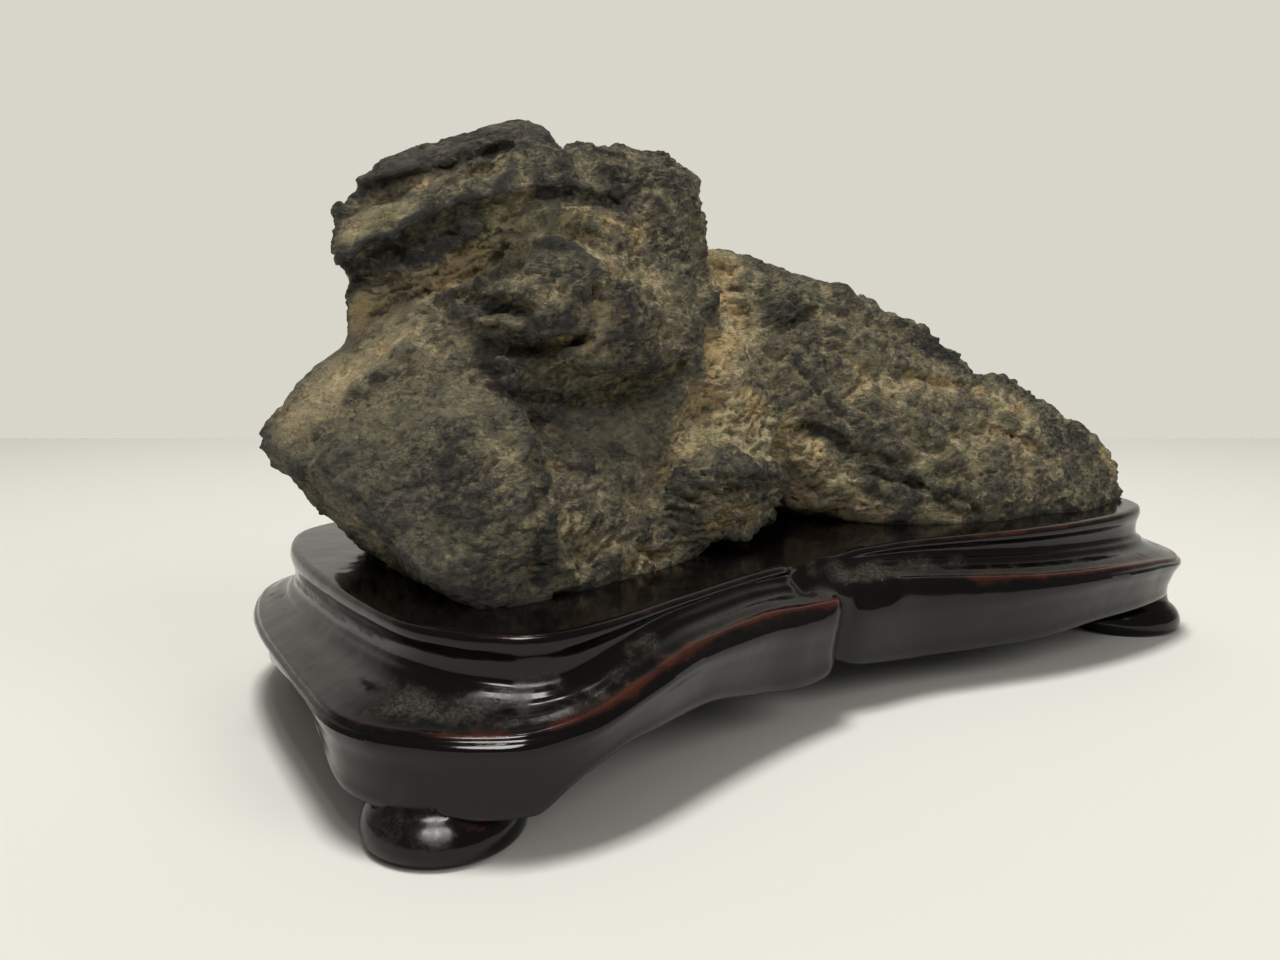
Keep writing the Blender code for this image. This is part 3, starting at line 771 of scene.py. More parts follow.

# %% [markdown]
# ## Where clay stays and where hands polish
#
# Tan clay was left in the recesses when the stone was cleaned, and the high places are dark
# and a little shiny from handling. Both follow from the shape: a point is high or low against
# a smoothed copy of the stone. Two copies are used, one for small pits and one for broad
# hollows. A few places are then painted with strokes.

# %% Strokes of clay, shade and polish
CLAY_STROKES = {
    "middle plane": (0.5, 4.0, [(345, 236), (370, 218), (402, 206)]),
    "nose front": (0.55, 4.0, [(520, 285), (560, 300)]),
    "nose right": (0.6, 6.0, [(600, 250), (640, 270), (664, 300)]),
    "boulder shoulder": (0.45, 7.0, [(300, 420), (335, 385), (370, 352), (410, 324)]),
    # Partly painted light: the clay face, the right clay and the neck are stronger than their clay alone, to
    # lighten faces that the overhangs shade.
    "clay face": (2.2, 5.0, [(806, 452), (824, 480), (800, 495), (840, 504), (870, 520)]),
    "right clay": (1.2, 5.0, [(790, 452), (815, 465), (845, 480)]),
    "low front": (0.2, 6.0, [(430, 560), (480, 560), (520, 540)]),
    "lump": (0.6, 5.0, [(690, 505), (750, 520)]),
    "neck": (1.7, 5.2, [(370, 315), (400, 292), (440, 278), (480, 258), (508, 236)]),
    "slab band": (0.8, 2.4, [(370, 205), (410, 190), (440, 176), (480, 168), (504, 158)]),
    "valley": (1.1, 6.0, [(722, 268), (735, 310), (730, 350), (705, 400), (688, 440)]),
    "valley side": (1.2, 5.0, [(740, 400), (770, 420), (800, 460), (815, 490)]),
    "valley low": (2.2, 6.5, [(700, 430), (730, 415), (760, 440)]),
    "cave lintel": (1.0, 1.6, [(479, 321), (500, 320), (514, 326)]),
    "cave shelf": (1.0, 1.6, [(495, 360), (514, 360)]),
    "cave ridge": (1.0, 1.6, [(548, 366), (572, 358), (598, 340)]),
    "nose seam": (0.7, 1.6, [(599, 250), (604, 280), (600, 330)]),
    "base": (0.9, 3.0, [(560, 520), (600, 545), (640, 560), (680, 552)]),
    "base left": (0.8, 3.0, [(550, 500), (556, 540), (575, 575)]),
    "second hollow": (0.8, 4.0, [(560, 215), (600, 220), (640, 230)]),
    "olive": (0.65, 6.0, [(860, 380), (900, 380), (940, 380)]),
    "right": (0.6, 6.0, [(960, 440), (1000, 430), (1030, 450)]),
    "right top": (0.6, 6.0, [(985, 395), (1030, 420)]),
    "right end": (0.9, 3.0, [(1104, 455), (1120, 470)]),
    "low": (0.8, 3.0, [(930, 515), (960, 512)]),
}
# Painted shade, mostly: these strokes darken caves, cracks, the undersides of ledges, hollows and the
# boulder's front, where shade falls. The slab top and a few blocks are the stone's own darker tone.
SHADE_AND_DARK_STONE_STROKES = {
    "boulder right crack": (1.3, 1.8, [(538, 440), (545, 470), (548, 510), (546, 550), (541, 585)]),
    "slab cave": (1.0, 2.6, [(462, 165), (480, 157), (498, 149)]),
    "under the head": (1.5, 3.8, [(395, 260), (405, 258), (430, 250), (452, 236)]),
    "upper cave": (1.0, 1.8, [(480, 306), (504, 305), (522, 310)]),
    "lower cave": (1.0, 2.2, [(506, 348), (530, 353), (556, 353), (576, 345)]),
    "left cave": (1.0, 2.0, [(481, 344), (478, 358), (490, 373)]),
    "block face": (0.7, 2.6, [(546, 322), (566, 330)]),
    "slope top": (0.7, 4.0, [(770, 312), (805, 322)]),
    "skyline": (0.8, 4.0, [(925, 345), (945, 358), (972, 372)]),
    "pebbly": (0.15, 6.0, [(650, 240), (670, 280)]),
    "slab top": (1.1, 7.0, [(370, 168), (430, 146), (480, 130), (535, 125)]),
    "under the slab": (1.0, 1.6, [(345, 200), (372, 190), (396, 183)]),
    "head underside": (1.5, 3.0, [(352, 264), (372, 256), (392, 252), (420, 244)]),
    "head notch": (0.9, 2.4, [(362, 276), (388, 282)]),
    "slope cave": (1.0, 2.4, [(782, 328), (810, 314)]),
    "rib cave": (1.0, 2.0, [(810, 432), (840, 442)]),
    "second hollow": (0.9, 3.4, [(545, 190), (580, 196), (620, 200)]),
    "boulder low": (0.5, 6.0, [(340, 450), (385, 455)]),
    "boulder front": (0.6, 9.0, [(390, 470), (440, 520), (465, 580)]),
    "under the nose": (0.7, 3.0, [(490, 376), (530, 398), (560, 412)]),
    "hollow": (0.35, 8.0, [(590, 425), (622, 418), (660, 395)]),
    "end": (0.5, 5.0, [(1050, 430), (1085, 445)]),
}
POLISH_STROKES = {
    "ridge": (1.0, 2.4, [(494, 200), (503, 182), (512, 166)]),
    "nose": (1.0, 4.0, [(528, 248), (556, 244), (584, 256)]),
    "middle edge": (0.9, 1.8, [(346, 254), (366, 240), (398, 229), (414, 220), (450, 204), (495, 197)]),
    "slab": (0.5, 5.0, [(360, 178), (420, 150), (480, 132), (535, 130)]),
    "rib": (0.5, 2.4, [(798, 360), (815, 380), (832, 402), (846, 414)]),
    "lump": (0.5, 3.0, [(740, 468), (768, 472), (786, 490)]),
    "block": (0.8, 4.0, [(866, 445), (885, 452)]),
    "boulder": (0.9, 2.4, [(376, 384), (384, 410)]),
    "second": (0.6, 3.0, [(640, 160), (690, 175), (698, 190)]),
    "sky": (0.6, 3.5, [(925, 345), (965, 372)]),
    "neck foot": (0.7, 2.0, [(430, 300), (470, 300), (500, 292)]),
}
print("strokes of clay, shade and polish:", len(CLAY_STROKES), len(SHADE_AND_DARK_STONE_STROKES), len(POLISH_STROKES))

# %% Measure high and low, and paint the masks
SMALL_PITS = 26
BROAD_HOLLOWS = 240


def add_mask(mesh, name, values):
    attribute = mesh.attributes.new(name, "FLOAT", "POINT")
    attribute.data.foreach_set("value", np.clip(values, 0, 1).astype(np.float32))


small_copy = smoothed(points, edges, SMALL_PITS)
broad_copy = smoothed(small_copy, edges, BROAD_HOLLOWS)
normals = soft_normals(stone_mesh, edges, 12)
small_high = ((points - small_copy) * normals).sum(1)
broad_high = ((small_copy - broad_copy) * normals).sum(1)
fine_high = ((points - smoothed(points, edges, 5)) * normals).sum(1)
loose = shaken(points, 4.0, 1.2)
tree = tree_of(stone_mesh, points)
clay_mask = painted(CLAY_STROKES, loose, tree)
shade_and_dark_stone_mask = painted(SHADE_AND_DARK_STONE_STROKES, loose, tree)
polished_mask = painted(POLISH_STROKES, loose, tree)
high = np.clip(small_high / 0.30, -1, 1) + 0.6 * np.clip(broad_high / 0.9, -1, 1)
broken = 0.6 * large_tone * coarse + 0.8 * small_tone + 0.35 * (small_inside - 0.6)
# The painted shade lowers the clay mask, so caves and undersides come out darker.
add_mask(stone_mesh, "clay", 0.43 - 0.30 * high + 0.60 * clay_mask - 0.50 * shade_and_dark_stone_mask)
add_mask(stone_mesh, "worn", 0.35 * high + 0.5 * polished_mask)
add_mask(stone_mesh, "broken", 0.5 + 0.6 * broken)
# Fine creases, measured from the shape, are darkened in the finish: painted shade, with some dirt in them
# too.
add_mask(stone_mesh, "crease", -fine_high / 0.09)
add_mask(stone_mesh, "quiet", quiet)
print("small relief, mm:", small_high.std().round(3), " broad relief, mm:", broad_high.std().round(3))


# %% Spend the triangles where the stone is busiest
STONE_TRIANGLES = 196000
# Points go where the surface is flattest. The masks stay with the points that are left.
share_kept = STONE_TRIANGLES / len(stone_mesh.loop_triangles)
stone_mesh = modified(stone_mesh, "DECIMATE", [{"ratio": share_kept}])
print("stone triangles:", len(stone_mesh.loop_triangles))

# %% [markdown]
# ## The stone's finish
#
# The rock itself is a dark blue-grey to brown. Over it lies clay in tan, ochre and olive.
# The masks set how light each place is, on one scale from bare rock to dry clay, and a ramp
# turns that into colour. Noise breaks up every edge so that no mask shows as a shape of its
# own, chips give neighbouring flakes a tone each, and fine cracks run between them. That
# grain is too small for the mesh, so it is also bump.

# %% Mix the stone's finish
def rgb(red, green, blue):
    return (red, green, blue, 1.0)


stone_finish = Finish("weathered_stone")
make = stone_finish
patches = make.cloud(make.place(0.12), 4.0, 0.6)
mottle = make.cloud(make.place(0.45), 5.0, 0.6, 0.4)
grain = make.cloud(make.place(1.3), 6.0, 0.68, 0.5)
fibre = make.cloud(make.place(1.4, (0.4, 0.5, 2.4)), 5.0, 0.7, 0.8)
bent = make.node("ShaderNodeVectorMath", {"operation": "ADD"},
                 {0: make.place(0.7, (0.9, 0.9, 1.7)), 1: mottle * 1.2 + grain})
chips = make.cells(bent, 1.0, "F1", "Color")
small_chips = make.cells(bent, 2.6, "F1", "Color")
cracks = 1 - make.map(make.cells(bent, 1.3, "DISTANCE_TO_EDGE", "Distance"), 0.0, 0.10)
cracks = cracks * make.map(mottle, 0.46, 0.60)
clay_here = make.painted("clay")
worn_here = make.map(make.painted("worn") + (mottle - 0.5) * 0.9, 0.25, 0.9)
rough_here = 1 - make.painted("quiet") * 0.6
broken_here = make.painted("broken") - 0.5

level = clay_here * 0.76 + 0.25 - worn_here * 0.20
level = level + ((mottle - 0.5) * 0.45 + (patches - 0.5) * 0.38) * rough_here
level = level + ((grain - 0.5) * 0.50 + (fibre - 0.5) * 0.50 - broken_here * 0.46) * rough_here
level = level + ((chips - 0.5) * 0.36 + (small_chips - 0.5) * 0.22) * rough_here
# Creases are darkened here: painted shade, with some dirt.
level = level - make.painted("crease") * 0.38 - cracks * 0.20
rock_tones = [(0.06, rgb(0.022, 0.018, 0.013)), (0.22, rgb(0.066, 0.059, 0.043)),
              (0.38, rgb(0.133, 0.117, 0.074)), (0.54, rgb(0.222, 0.190, 0.112)),
              (0.72, rgb(0.345, 0.288, 0.167)), (0.92, rgb(0.590, 0.492, 0.295))]
tone = make.node("ShaderNodeValToRGB", {"stops": rock_tones}, {"Fac": level}, "Color")
warm = make.map(patches + (mottle - 0.5) * 0.6 + clay_here * 0.12, 0.53, 0.71)
warm = warm * make.map(clay_here, 0.4, 0.9)
olive = make.map(patches + (mottle - 0.5) * 0.4, 0.46, 0.34) * 0.7
tone = make.tinted(warm, tone, rgb(1.08, 0.94, 0.74))
tone = make.tinted(olive, tone, rgb(0.94, 1.0, 0.80))
tone = make.mix(worn_here * 0.6, tone, rgb(0.058, 0.055, 0.042))

relief = grain + fibre * 0.5 + chips * 0.45 + small_chips * 0.22 - cracks * 0.45
make.set(Base_Color=tone,
         Roughness=0.80 - worn_here * 0.42,
         Normal=make.bump(relief * rough_here + mottle * 0.5, 1.4, 1.0))
make.shader.inputs["Specular IOR Level"].default_value = 0.45
print("nodes in the stone's finish:", len(make.tree.nodes))

# %% [markdown]
# The finished stone takes the plain one's place. It rides on the same body, so it moves when
# the object is moved, and its slot names the finish that somebody may exchange later.

# %% Put the stone in place
stone_mesh.materials.clear()
stone_mesh.materials.append(stone_finish.material)
stone_mesh.shade_smooth()
stone = added("fine_stone", stone_mesh)
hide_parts("stone")
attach(stone, "root")
print("stone, mm:", in_mm(stone.dimensions))

# %% [markdown]
# ## The carved edge of the stand
#
# The stand's edge is one moulding that runs all the way round: a flat top, a rounded rim, a
# coved face, a bead at its foot, a sloping ledge, a rolled edge and a tall apron that flares
# towards the feet. Its size changes as it goes, and at the waist it steps in sharply, where
# two lobes meet. So it is a loft: the section is worked out at some hundreds of places along
# the outline, from a few measured stations, and the sections are joined.

# %% The stations of the outline, in millimetres
# Rim x, rim y, ledge out, ledge z, apron top out, apron top z, apron foot out, apron foot z.
STATIONS = np.array([
    (-71.8, -23.4, 8.3, 14.3, 8.8, 13.7, 7.9, 4.9),
    (-68.6, -30.0, 7.2, 14.2, 7.6, 13.6, 7.4, 4.5),
    (-64.5, -34.4, 6.3, 14.2, 6.8, 13.6, 6.6, 4.6),
    (-61.8, -36.3, 5.7, 14.4, 6.2, 13.6, 5.7, 4.8),
    (-57.4, -37.5, 4.9, 15.3, 5.6, 14.0, 4.6, 8.4),
    (-50.1, -36.8, 4.6, 17.3, 5.4, 16.1, 4.2, 10.2),
    (-39.4, -34.2, 4.2, 19.0, 5.2, 17.6, 3.8, 10.2),
    (-27.1, -31.3, 4.3, 19.2, 5.4, 17.4, 3.8, 7.9),
    (-18.0, -29.9, 4.8, 18.6, 5.6, 16.3, 4.2, 6.6),
    (-13.0, -29.5, 5.0, 18.4, 5.5, 16.0, 4.2, 7.0),
    (-10.4, -29.4, 4.0, 18.4, 4.4, 16.0, 3.4, 8.5),
    (-9.6, -29.3, 1.8, 18.8, 2.0, 16.2, 1.6, 8.5),
    (-8.4, -29.3, 2.6, 19.4, 2.9, 15.6, 2.0, 8.0),
    (-4.0, -29.1, 3.6, 19.5, 4.2, 15.0, 3.0, 6.6),
    (7.5, -29.4, 4.2, 18.6, 5.0, 14.6, 3.6, 5.6),
    (20.0, -32.2, 4.6, 17.6, 5.4, 14.6, 3.8, 5.5),
    (32.0, -35.0, 4.9, 16.8, 5.6, 15.2, 4.0, 5.8),
    (45.0, -36.6, 5.0, 16.2, 5.7, 15.3, 4.2, 7.0),
    (58.6, -36.4, 5.4, 15.4, 6.0, 14.8, 4.8, 7.2),
    (68.0, -33.2, 6.9, 14.4, 7.4, 13.8, 5.6, 7.0),
    (73.0, -25.0, 6.6, 14.4, 7.0, 13.8, 5.4, 6.8),
    (74.2, -13.0, 6.0, 14.8, 6.6, 14.0, 4.6, 7.0),
    (74.8, 0.0, 5.5, 15.2, 6.1, 14.4, 4.2, 8.2),
    (73.6, 13.0, 6.0, 14.8, 6.6, 14.0, 4.6, 7.0),
    (69.6, 24.0, 6.4, 14.4, 6.9, 13.8, 5.6, 5.0),
    (61.0, 30.0, 6.0, 14.5, 6.5, 13.9, 5.4, 4.7),
    (49.0, 31.8, 5.2, 15.6, 5.9, 14.8, 4.2, 6.8),
    (35.0, 30.2, 5.0, 16.8, 5.6, 15.6, 4.0, 6.0),
    (20.0, 27.6, 4.6, 17.8, 5.4, 15.6, 3.8, 5.8),
    (9.0, 26.8, 5.0, 18.4, 5.5, 16.0, 4.2, 7.0),
    (6.8, 26.8, 4.0, 18.4, 4.4, 16.0, 3.4, 8.5),
    (6.0, 26.8, 1.8, 18.8, 2.0, 16.2, 1.6, 8.5),
    (4.6, 26.9, 2.6, 19.4, 2.9, 15.6, 2.0, 8.0),
    (-4.0, 27.8, 3.6, 19.2, 4.2, 15.4, 3.0, 6.6),
    (-17.0, 30.6, 4.4, 18.9, 5.2, 16.4, 3.8, 7.4),
    (-30.0, 34.0, 4.4, 18.6, 5.2, 17.0, 3.8, 9.4),
    (-42.0, 36.4, 4.6, 17.4, 5.4, 16.2, 4.0, 9.8),
    (-53.0, 37.4, 5.0, 15.4, 5.7, 14.4, 4.4, 7.6),
    (-61.2, 36.2, 5.6, 14.3, 6.1, 13.7, 5.2, 4.8),
    (-67.4, 32.0, 5.6, 14.2, 6.0, 13.6, 5.0, 5.2),
    (-71.4, 23.0, 5.2, 14.2, 5.7, 13.6, 4.0, 5.6),
    (-73.1, 11.3, 5.6, 14.3, 6.1, 13.7, 4.2, 8.0),
    (-73.4, -2.0, 6.3, 14.4, 6.8, 13.8, 4.4, 8.6),
    (-73.0, -13.0, 7.2, 14.4, 7.7, 13.8, 6.0, 7.0),
])
HOLLOW_Z = 12.0
SKIRT_WALL = 4.2
COLUMN_STEP = 0.7


# %% Places along the outline
def through(a, b, c, d, t):
    """A smooth curve from b to c that heads the way its neighbours lie."""
    bend = (2 * a - 5 * b + 4 * c - d) * t**2 + (3 * b - a - 3 * c + d) * t**3
    return 0.5 * (2 * b + (c - a) * t + bend)


def bridged(start, end, heading, leaving, t, gap=1.0):
    """A smooth curve over a gap, with its heading where it starts and where it ends."""
    first = (2 * t**3 - 3 * t**2 + 1) * start + (t**3 - 2 * t**2 + t) * gap * heading
    second = (3 * t**2 - 2 * t**3) * end + (t**3 - t**2) * gap * leaving
    return first + second


def lean(before, after):
    """A slope between two others that is flat where they change sides."""
    flat = before * after <= 0
    return np.where(flat, 0.0, 2 * before * after / np.where(flat, 1.0, before + after))


def easing(a, b, c, d, t):
    """A curve from b to c that never overshoots, which keeps the steps at the waist crisp."""
    return bridged(b, c, lean(b - a, c - b), lean(c - b, d - c), t)


def outline():
    """For each column: its point on the rim, the outward direction, and the six edge values."""
    rims, outs, values = [], [], []
    for index in range(len(STATIONS)):
        four = [STATIONS[(index + k) % len(STATIONS)] for k in (-1, 0, 1, 2)]
        steps = max(2, round(math.dist(four[1][:2], four[2][:2]) / COLUMN_STEP))
        for step in range(steps):
            t = step / steps
            rim = through(*(row[:2] for row in four), t)
            along = through(*(row[:2] for row in four), t + 0.01) - rim
            along /= np.linalg.norm(along)
            rims.append(rim)
            outs.append((along[1], -along[0]))
            values.append(easing(*(row[2:] for row in four), t))
    return np.array(rims), np.array(outs), np.array(values)


rims, outs, edge_values = outline()
print("columns round the stand:", len(rims))

# %% [markdown]
# The section is drawn by a few control points with a smooth curve through them. Each control
# point also says how rubbed and how dusty the wood is there, because rubbing follows the
# edges of the moulding and dust lies on the ledge.

# %% The moulding's section
def section(values):
    """Control points as out, z, rubbed, dusty, and the number of steps to the next one."""
    ledge_out, ledge_z, top_out, top_z, foot_out, foot_z = values.T
    rim_foot = ledge_z + 1.7 + 0.4 * np.maximum(0, ledge_out - 4)
    face = STAND_TOP - rim_foot
    drop = top_z - foot_z
    lean = top_out - foot_out
    return [
        (-2.4, STAND_TOP, 0.0, 0.15, 1),
        (-1.0, STAND_TOP, 0.1, 0.15, 3),
        (-0.26, STAND_TOP - 0.22, 1.0, 0.0, 3),
        (0.0, STAND_TOP - 0.85, 0.5, 0.0, 5),
        (-0.45, STAND_TOP - 0.55 * face, 0.0, 0.0, 5),
        (-0.12, rim_foot + 0.62, 0.0, 0.0, 3),
        (0.52, rim_foot + 0.16, 0.2, 0.1, 3),
        (0.95, rim_foot - 0.45, 0.1, 0.6, 3),
        (0.55 * ledge_out, ledge_z + 0.42 * (rim_foot - ledge_z), 0.3, 1.0, 4),
        (ledge_out - 0.9, ledge_z + 0.24, 0.5, 0.8, 3),
        (ledge_out - 0.12, ledge_z - 0.02, 1.0, 0.1, 3),
        (ledge_out + 0.12, ledge_z - 0.5, 0.5, 0.0, 2),
        (top_out, top_z - 0.1, 0.15, 0.0, 4),
        (top_out - 0.45 * lean, top_z - 0.35 * drop, 0.0, 0.0, 5),
        (top_out - 0.95 * lean, top_z - 0.75 * drop, 0.0, 0.0, 4),
        (foot_out, foot_z + 0.7, 0.1, 0.0, 3),
        (foot_out - 0.2, foot_z + 0.15, 0.6, 0.0, 2),
        (foot_out - 0.8, foot_z, 0.3, 0.0, 2),
        (foot_out - SKIRT_WALL, foot_z + 0.4, 0.0, 0.3, 2),
        (foot_out - SKIRT_WALL - 1.5, HOLLOW_Z, 0.0, 0.3, 1),
    ]


def curved(controls, steps):
    """A smooth curve through control points that are unevenly spaced."""
    gaps = np.linalg.norm(np.diff(controls[..., :2], axis=0), axis=-1)[..., None] + 1e-6
    runs = np.diff(controls, axis=0) / gaps
    heading = (runs[:-1] * gaps[1:] + runs[1:] * gaps[:-1]) / (gaps[:-1] + gaps[1:])
    heading = np.concatenate([runs[:1], heading, runs[-1:]])
    levels = []
    for index, count in enumerate(steps):
        start, end = controls[index], controls[index + 1]
        for step in range(count):
            levels.append(bridged(start, end, heading[index], heading[index + 1],
                                  step / count, gaps[index]))
    return np.array(levels + [controls[-1]])


rows = section(edge_values)
controls = np.stack([np.stack(np.broadcast_arrays(*row[:4], rims[:, 0])[:4], 1) for row in rows])
levels = curved(controls, [row[4] for row in rows[:-1]])
print("levels in the section:", len(levels))


# %% Loft the stand
def loft_mesh(name, rings):
    """A closed mesh through rings of equal length, capped at the first and the last."""
    count = len(rings[0])
    points = np.concatenate(rings) * MM
    faces = []
    for ring in range(len(rings) - 1):
        for column in range(count):
            after = (column + 1) % count
            upper, lower = ring * count, (ring + 1) * count
            faces.append((upper + column, upper + after, lower + after, lower + column))
    faces.append(list(range(count))[::-1])
    faces.append([(len(rings) - 1) * count + column for column in range(count)])
    mesh = bpy.data.meshes.new(name)
    mesh.from_pydata(points.tolist(), [], faces)
    tidy = bmesh.new()
    tidy.from_mesh(mesh)
    bmesh.ops.recalc_face_normals(tidy, faces=tidy.faces)
    tidy.to_mesh(mesh)
    tidy.free()
    return mesh


stand_rings = [np.column_stack([rims + outs * level[:, :1], level[:, 1]]) for level in levels]
stand_mesh = loft_mesh("stand", stand_rings)
print("stand faces:", len(stand_mesh.polygons))

# %% [markdown]
# ## Feet
#
# Four low cushions carry the stand. Each is a turned shape, a little oval. Its profile could
# be spun by a modifier, but the loft that made the moulding can take it too: every ring is
# the same oval at another size.

# %% Turn the feet
FEET = {
    "front_left": (-69.8, -29.6, 9.4, 1.00, 0),
    "front_right": (66.8, -32.4, 8.8, 1.12, -35),
    "back_right": (63.6, 24.6, 8.8, 1.08, 35),
    "back_left": (-60.4, 30.4, 8.8, 1.00, 0),
}
# Radius as a share of the foot's own, height in millimetres, and steps to the next.
FOOT_PROFILE = [(0.92, 0.0, 2), (0.985, 0.35, 3), (1.02, 1.6, 3), (0.99, 3.0, 4),
                (0.90, 4.3, 3), (0.80, 5.2, 2), (0.76, 6.2, 2), (0.74, 8.0, 1), (0.70, 12.6, 1)]
FOOT_SIDES = 96


def foot(x, y, radius, stretch, turn):
    profile = curved(np.array([(share * radius, z) for share, z, _ in FOOT_PROFILE]),
                     [steps for _, _, steps in FOOT_PROFILE[:-1]])
    angles = np.linspace(0, math.tau, FOOT_SIDES, endpoint=False)
    across, along = stretch * np.cos(angles), np.sin(angles) / stretch
    cosine, sine = math.cos(math.radians(turn)), math.sin(math.radians(turn))
    shape = np.column_stack([across * cosine - along * sine, across * sine + along * cosine])
    rings = [np.column_stack([shape * reach + (x, y), np.full(FOOT_SIDES, z)]) for reach, z in profile]
    return loft_mesh("foot", rings)


feet = [foot(*values) for values in FEET.values()]
print("faces in a foot:", len(feet[0].polygons))

# %% [markdown]
# ## The worn waist
#
# At the waist the rim of the left lobe curls in, and the carving there is worn soft. A
# hollow is pushed in with two strokes, and the place is smoothed before and after. Smoothing
# the whole stand would be simpler, but elsewhere the moulding is still crisp.

# %% Soften the waist
ROUNDED_ONCE = 60
ROUNDED_AGAIN = 30
WORN_SOFT = {
    "slope": (1.0, 6.0, [(804, 566), (826, 568), (850, 574), (870, 576)]),
    "corner": (1.0, 1.6, [(849, 598), (850, 612)]),
}
WAIST_STROKES = {
    "curl": ("push", -1.3, 2.4, [(803, 562), (800, 574), (804, 584)]),
    "curl top": ("push", -1.0, 2.0, [(820, 553), (834, 550)]),
}


def softened(mesh, edges, passes):
    """Rounds off the worn places and leaves the rest crisp."""
    crisp = read_points(mesh)
    soft = painted(WORN_SOFT, crisp, tree_of(mesh, crisp))[:, None]
    return crisp + np.minimum(1, 1.6 * soft) * (smoothed(crisp, edges, passes) - crisp)


stand_edges = read_edges(stand_mesh)
write_points(stand_mesh, softened(stand_mesh, stand_edges, ROUNDED_ONCE))
write_points(stand_mesh, sculpted(stand_mesh, WAIST_STROKES, stand_edges))
write_points(stand_mesh, softened(stand_mesh, stand_edges, ROUNDED_AGAIN))
moved = np.linalg.norm(read_points(stand_mesh) - np.concatenate(stand_rings), axis=1)
print("wood moved at the waist, mm:", moved.max().round(2))

# %% [markdown]
# ## The seat
#
# A carver sinks the stone's footprint into the wood, so that the stone stands upright in its
# own shape. Here the plain stone is the cutter. It is remeshed, because a cutter has to be
# closed, grown by the gap that a carver leaves, and cut out of the top. The feet are joined
# in the same step.

# %% Join the feet and cut the seat
SEAT_GAP = 0.3


def seat():
    """The plain stone, grown by the seat's gap."""
    mesh = remeshed(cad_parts["stone"].data.copy(), CLAY_VOXEL)
    write_points(mesh, read_points(mesh) + SEAT_GAP * read_normals(mesh))
    return mesh


def carved(mesh, shapes):
    """Joins meshes to the first or cuts them out of it."""
    helpers = [added("helper", shape) for _, shape in shapes]
    tools = [{"operation": operation, "solver": "MANIFOLD", "object": helper}
             for (operation, _), helper in zip(shapes, helpers)]
    result = modified(mesh, "BOOLEAN", tools)
    for helper in helpers:
        bpy.data.objects.remove(helper, do_unlink=True)
    return result


stand_mesh = carved(stand_mesh, [("UNION", shape) for shape in feet] + [("DIFFERENCE", seat())])
print("stand faces, carved:", len(stand_mesh.polygons))

# %% [markdown]
# ## Rubbed edges, dust, and a painted highlight
#
# Joining and cutting made new points, so each takes its rubbed and dust values from the
# nearest point of the moulding. What lies away from the moulding, like the feet and the
# seat, has only a little dust. Strokes then add the places that are most rubbed and dusty,
# and on the near foot the dust stroke lays a pale patch that is a painted highlight.

# %% Paint the stand's masks
OFF_THE_MOULDING = 1.0
section_points = np.concatenate(stand_rings)
section_masks = np.concatenate([level[:, 2:] for level in levels])
nearest = KDTree(len(section_points))
for index, place in enumerate(section_points.tolist()):
    nearest.insert(place, index)
nearest.balance()
stand_points = read_points(stand_mesh)
found = [nearest.find(place) for place in stand_points.tolist()]
masks = section_masks[[index for _, index, _ in found]]
masks[np.array([gap for _, _, gap in found]) > OFF_THE_MOULDING] = (0.0, 0.1)
RUB_STROKES = {
    "rim": (0.9, 3.0, [(530, 628), (600, 602), (680, 577), (740, 566), (780, 560)]),
    "right rim": (0.8, 4.0, [(880, 533), (1000, 532), (1060, 522), (1120, 508)]),
    "ledge": (0.9, 3.0, [(440, 730), (500, 732)]),
    "ledge roll": (1.0, 3.5, [(560, 716), (600, 700), (650, 676), (700, 644), (760, 622), (836, 606)]),
    "right ledge": (1.0, 4.0, [(980, 576), (1060, 570), (1120, 562), (1175, 553)]),
    "foot": (1.0, 4.0, [(475, 830), (500, 845), (515, 835)]),
}
DUST_AND_HIGHLIGHT_STROKES = {
    "ledge": (0.8, 3.0, [(400, 700), (450, 712), (520, 690)]),
    "patch": (1.0, 2.2, [(525, 685), (555, 675)]),
    "small patch": (1.0, 1.8, [(628, 648), (650, 634)]),
    "waist": (1.0, 3.4, [(812, 568), (835, 572), (862, 574), (880, 568)]),
    "right": (0.7, 3.0, [(900, 562), (960, 556)]),
    # Painted highlight: this stroke greys and roughens the near foot's shoulder to stand in for a broad
    # highlight.
    "foot": (0.9, 5.0, [(385, 824), (440, 830)]),
}
stand_tree = tree_of(stand_mesh, stand_points)
stand_loose = shaken(stand_points, 3.0, 0.8)
rub_here = painted(RUB_STROKES, stand_loose, stand_tree)
stand_dust_and_highlight = painted(DUST_AND_HIGHLIGHT_STROKES, stand_loose, stand_tree)
add_mask(stand_mesh, "rubbed", masks[:, 0] * (0.45 + 0.55 * rub_here) + 0.15 * rub_here)
# This mask carries real dust and the painted highlight on the near foot.
add_mask(stand_mesh, "dusty", 0.45 * masks[:, 1] + 0.75 * stand_dust_and_highlight)
print("most rubbed and most dusty stroke:", rub_here.max().round(2), stand_dust_and_highlight.max().round(2))
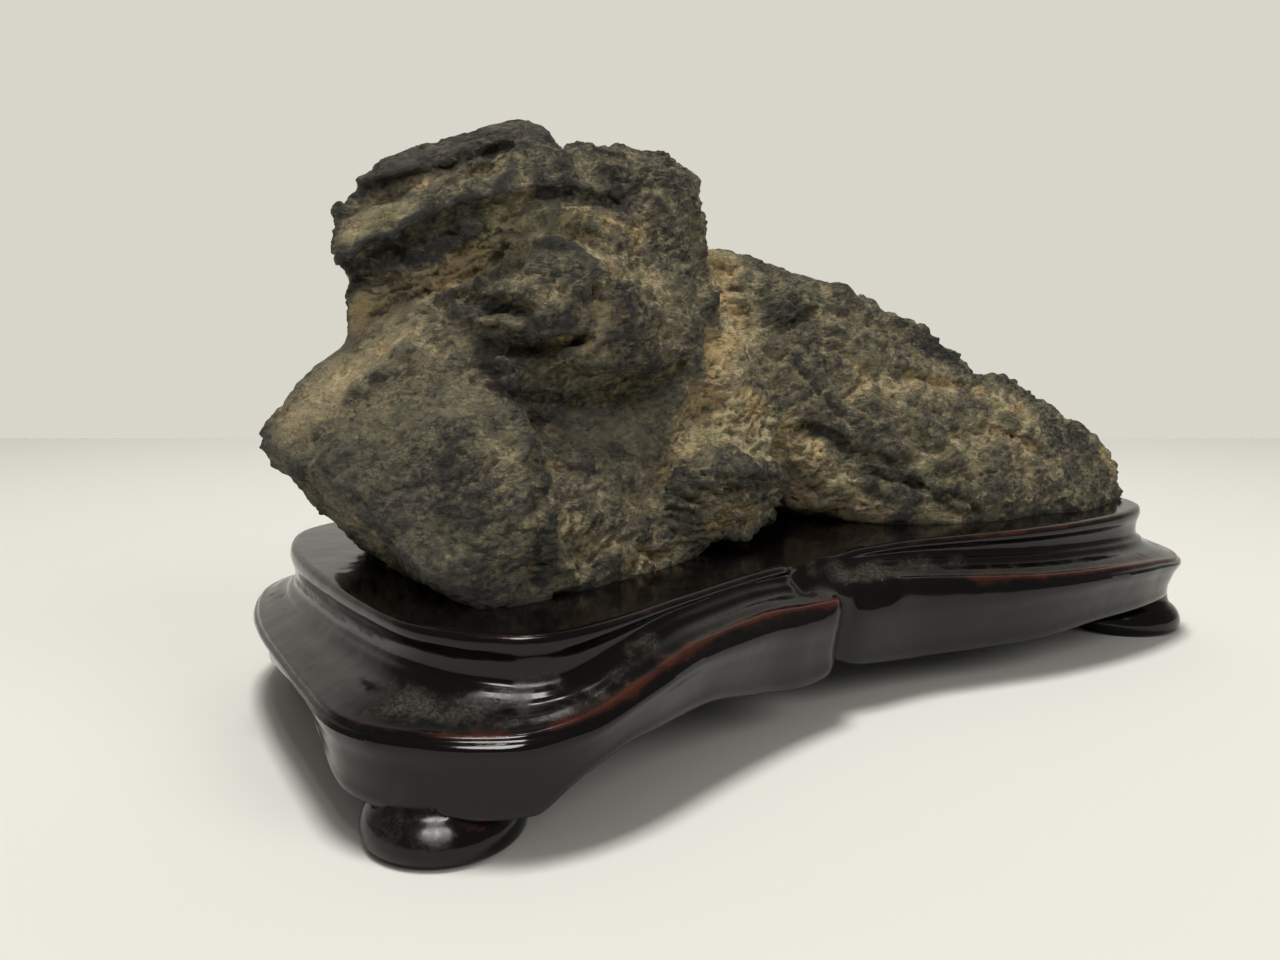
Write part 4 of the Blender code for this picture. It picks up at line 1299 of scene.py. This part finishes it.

# %% [markdown]
# ## The lacquer
#
# The wood is stained almost black under a glossy lacquer, so nearly all that is seen of it
# is reflection. Where hands rub the edges, the red-brown wood shows through. The ledge is
# duller, with a film of dust and a few light specks. On the near foot the same dust mask
# lays a pale patch that is a painted highlight.

# %% Mix the lacquer
lacquer = Finish("black_lacquer")
make = lacquer
wood_grain = make.cloud(make.place(0.35, (0.25, 1.0, 1.6)), 5.0, 0.6, 0.5)
waves = make.cloud(make.place(0.16), 2.0, 0.5)
smear = make.cloud(make.place(0.28), 5.0, 0.65)
fine_dust = make.cloud(make.place(2.2), 5.0, 0.75)
flecks = make.map(make.cloud(make.place(1.3), 2.0, 0.5), 0.70, 0.76)
rubbed_here = make.map(make.painted("rubbed") + (wood_grain - 0.5) * 1.2 + (smear - 0.5) * 1.2, 0.40, 1.15)
dust_and_highlight_share = make.map(make.painted("dusty") + (smear - 0.5) * 1.6, 0.30, 1.15)
tone = make.mix(wood_grain, rgb(0.0016, 0.0013, 0.0014), rgb(0.0034, 0.0020, 0.0019))
tone = make.mix(rubbed_here * 0.85, tone, rgb(0.056, 0.015, 0.008))
# Dust greys the lacquer; on the near foot the same mask paints a highlight.
tone = make.mix(dust_and_highlight_share * make.map(fine_dust, 0.38, 0.66) * 0.70, tone, rgb(0.085, 0.070, 0.052))
tone = make.mix(dust_and_highlight_share * flecks * 0.5, tone, rgb(0.20, 0.185, 0.16))
make.set(Base_Color=tone,
         Roughness=0.12 + dust_and_highlight_share * 0.46 + rubbed_here * 0.10 + (smear - 0.5) * 0.12,
         Normal=make.bump(waves * 4.0 + wood_grain * 0.4 + fine_dust * dust_and_highlight_share * 0.3, 0.06, 0.6))
make.shader.inputs["IOR"].default_value = 1.40
print("nodes in the lacquer:", len(make.tree.nodes))

# %% Put the stand in place
stand_mesh.materials.clear()
stand_mesh.materials.append(lacquer.material)
stand_mesh.set_sharp_from_angle(angle=math.radians(35))
flat_top = [face.normal.z > 0.9999 and face.center.z > (STAND_TOP - 0.1) * MM
            for face in stand_mesh.polygons]
stand_mesh.attributes.new("sharp_face", "BOOLEAN", "FACE").data.foreach_set("value", flat_top)
stand = added("lacquered_stand", stand_mesh)
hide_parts("stand")
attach(stand, "root")
print("stand, mm:", in_mm(stand.dimensions))
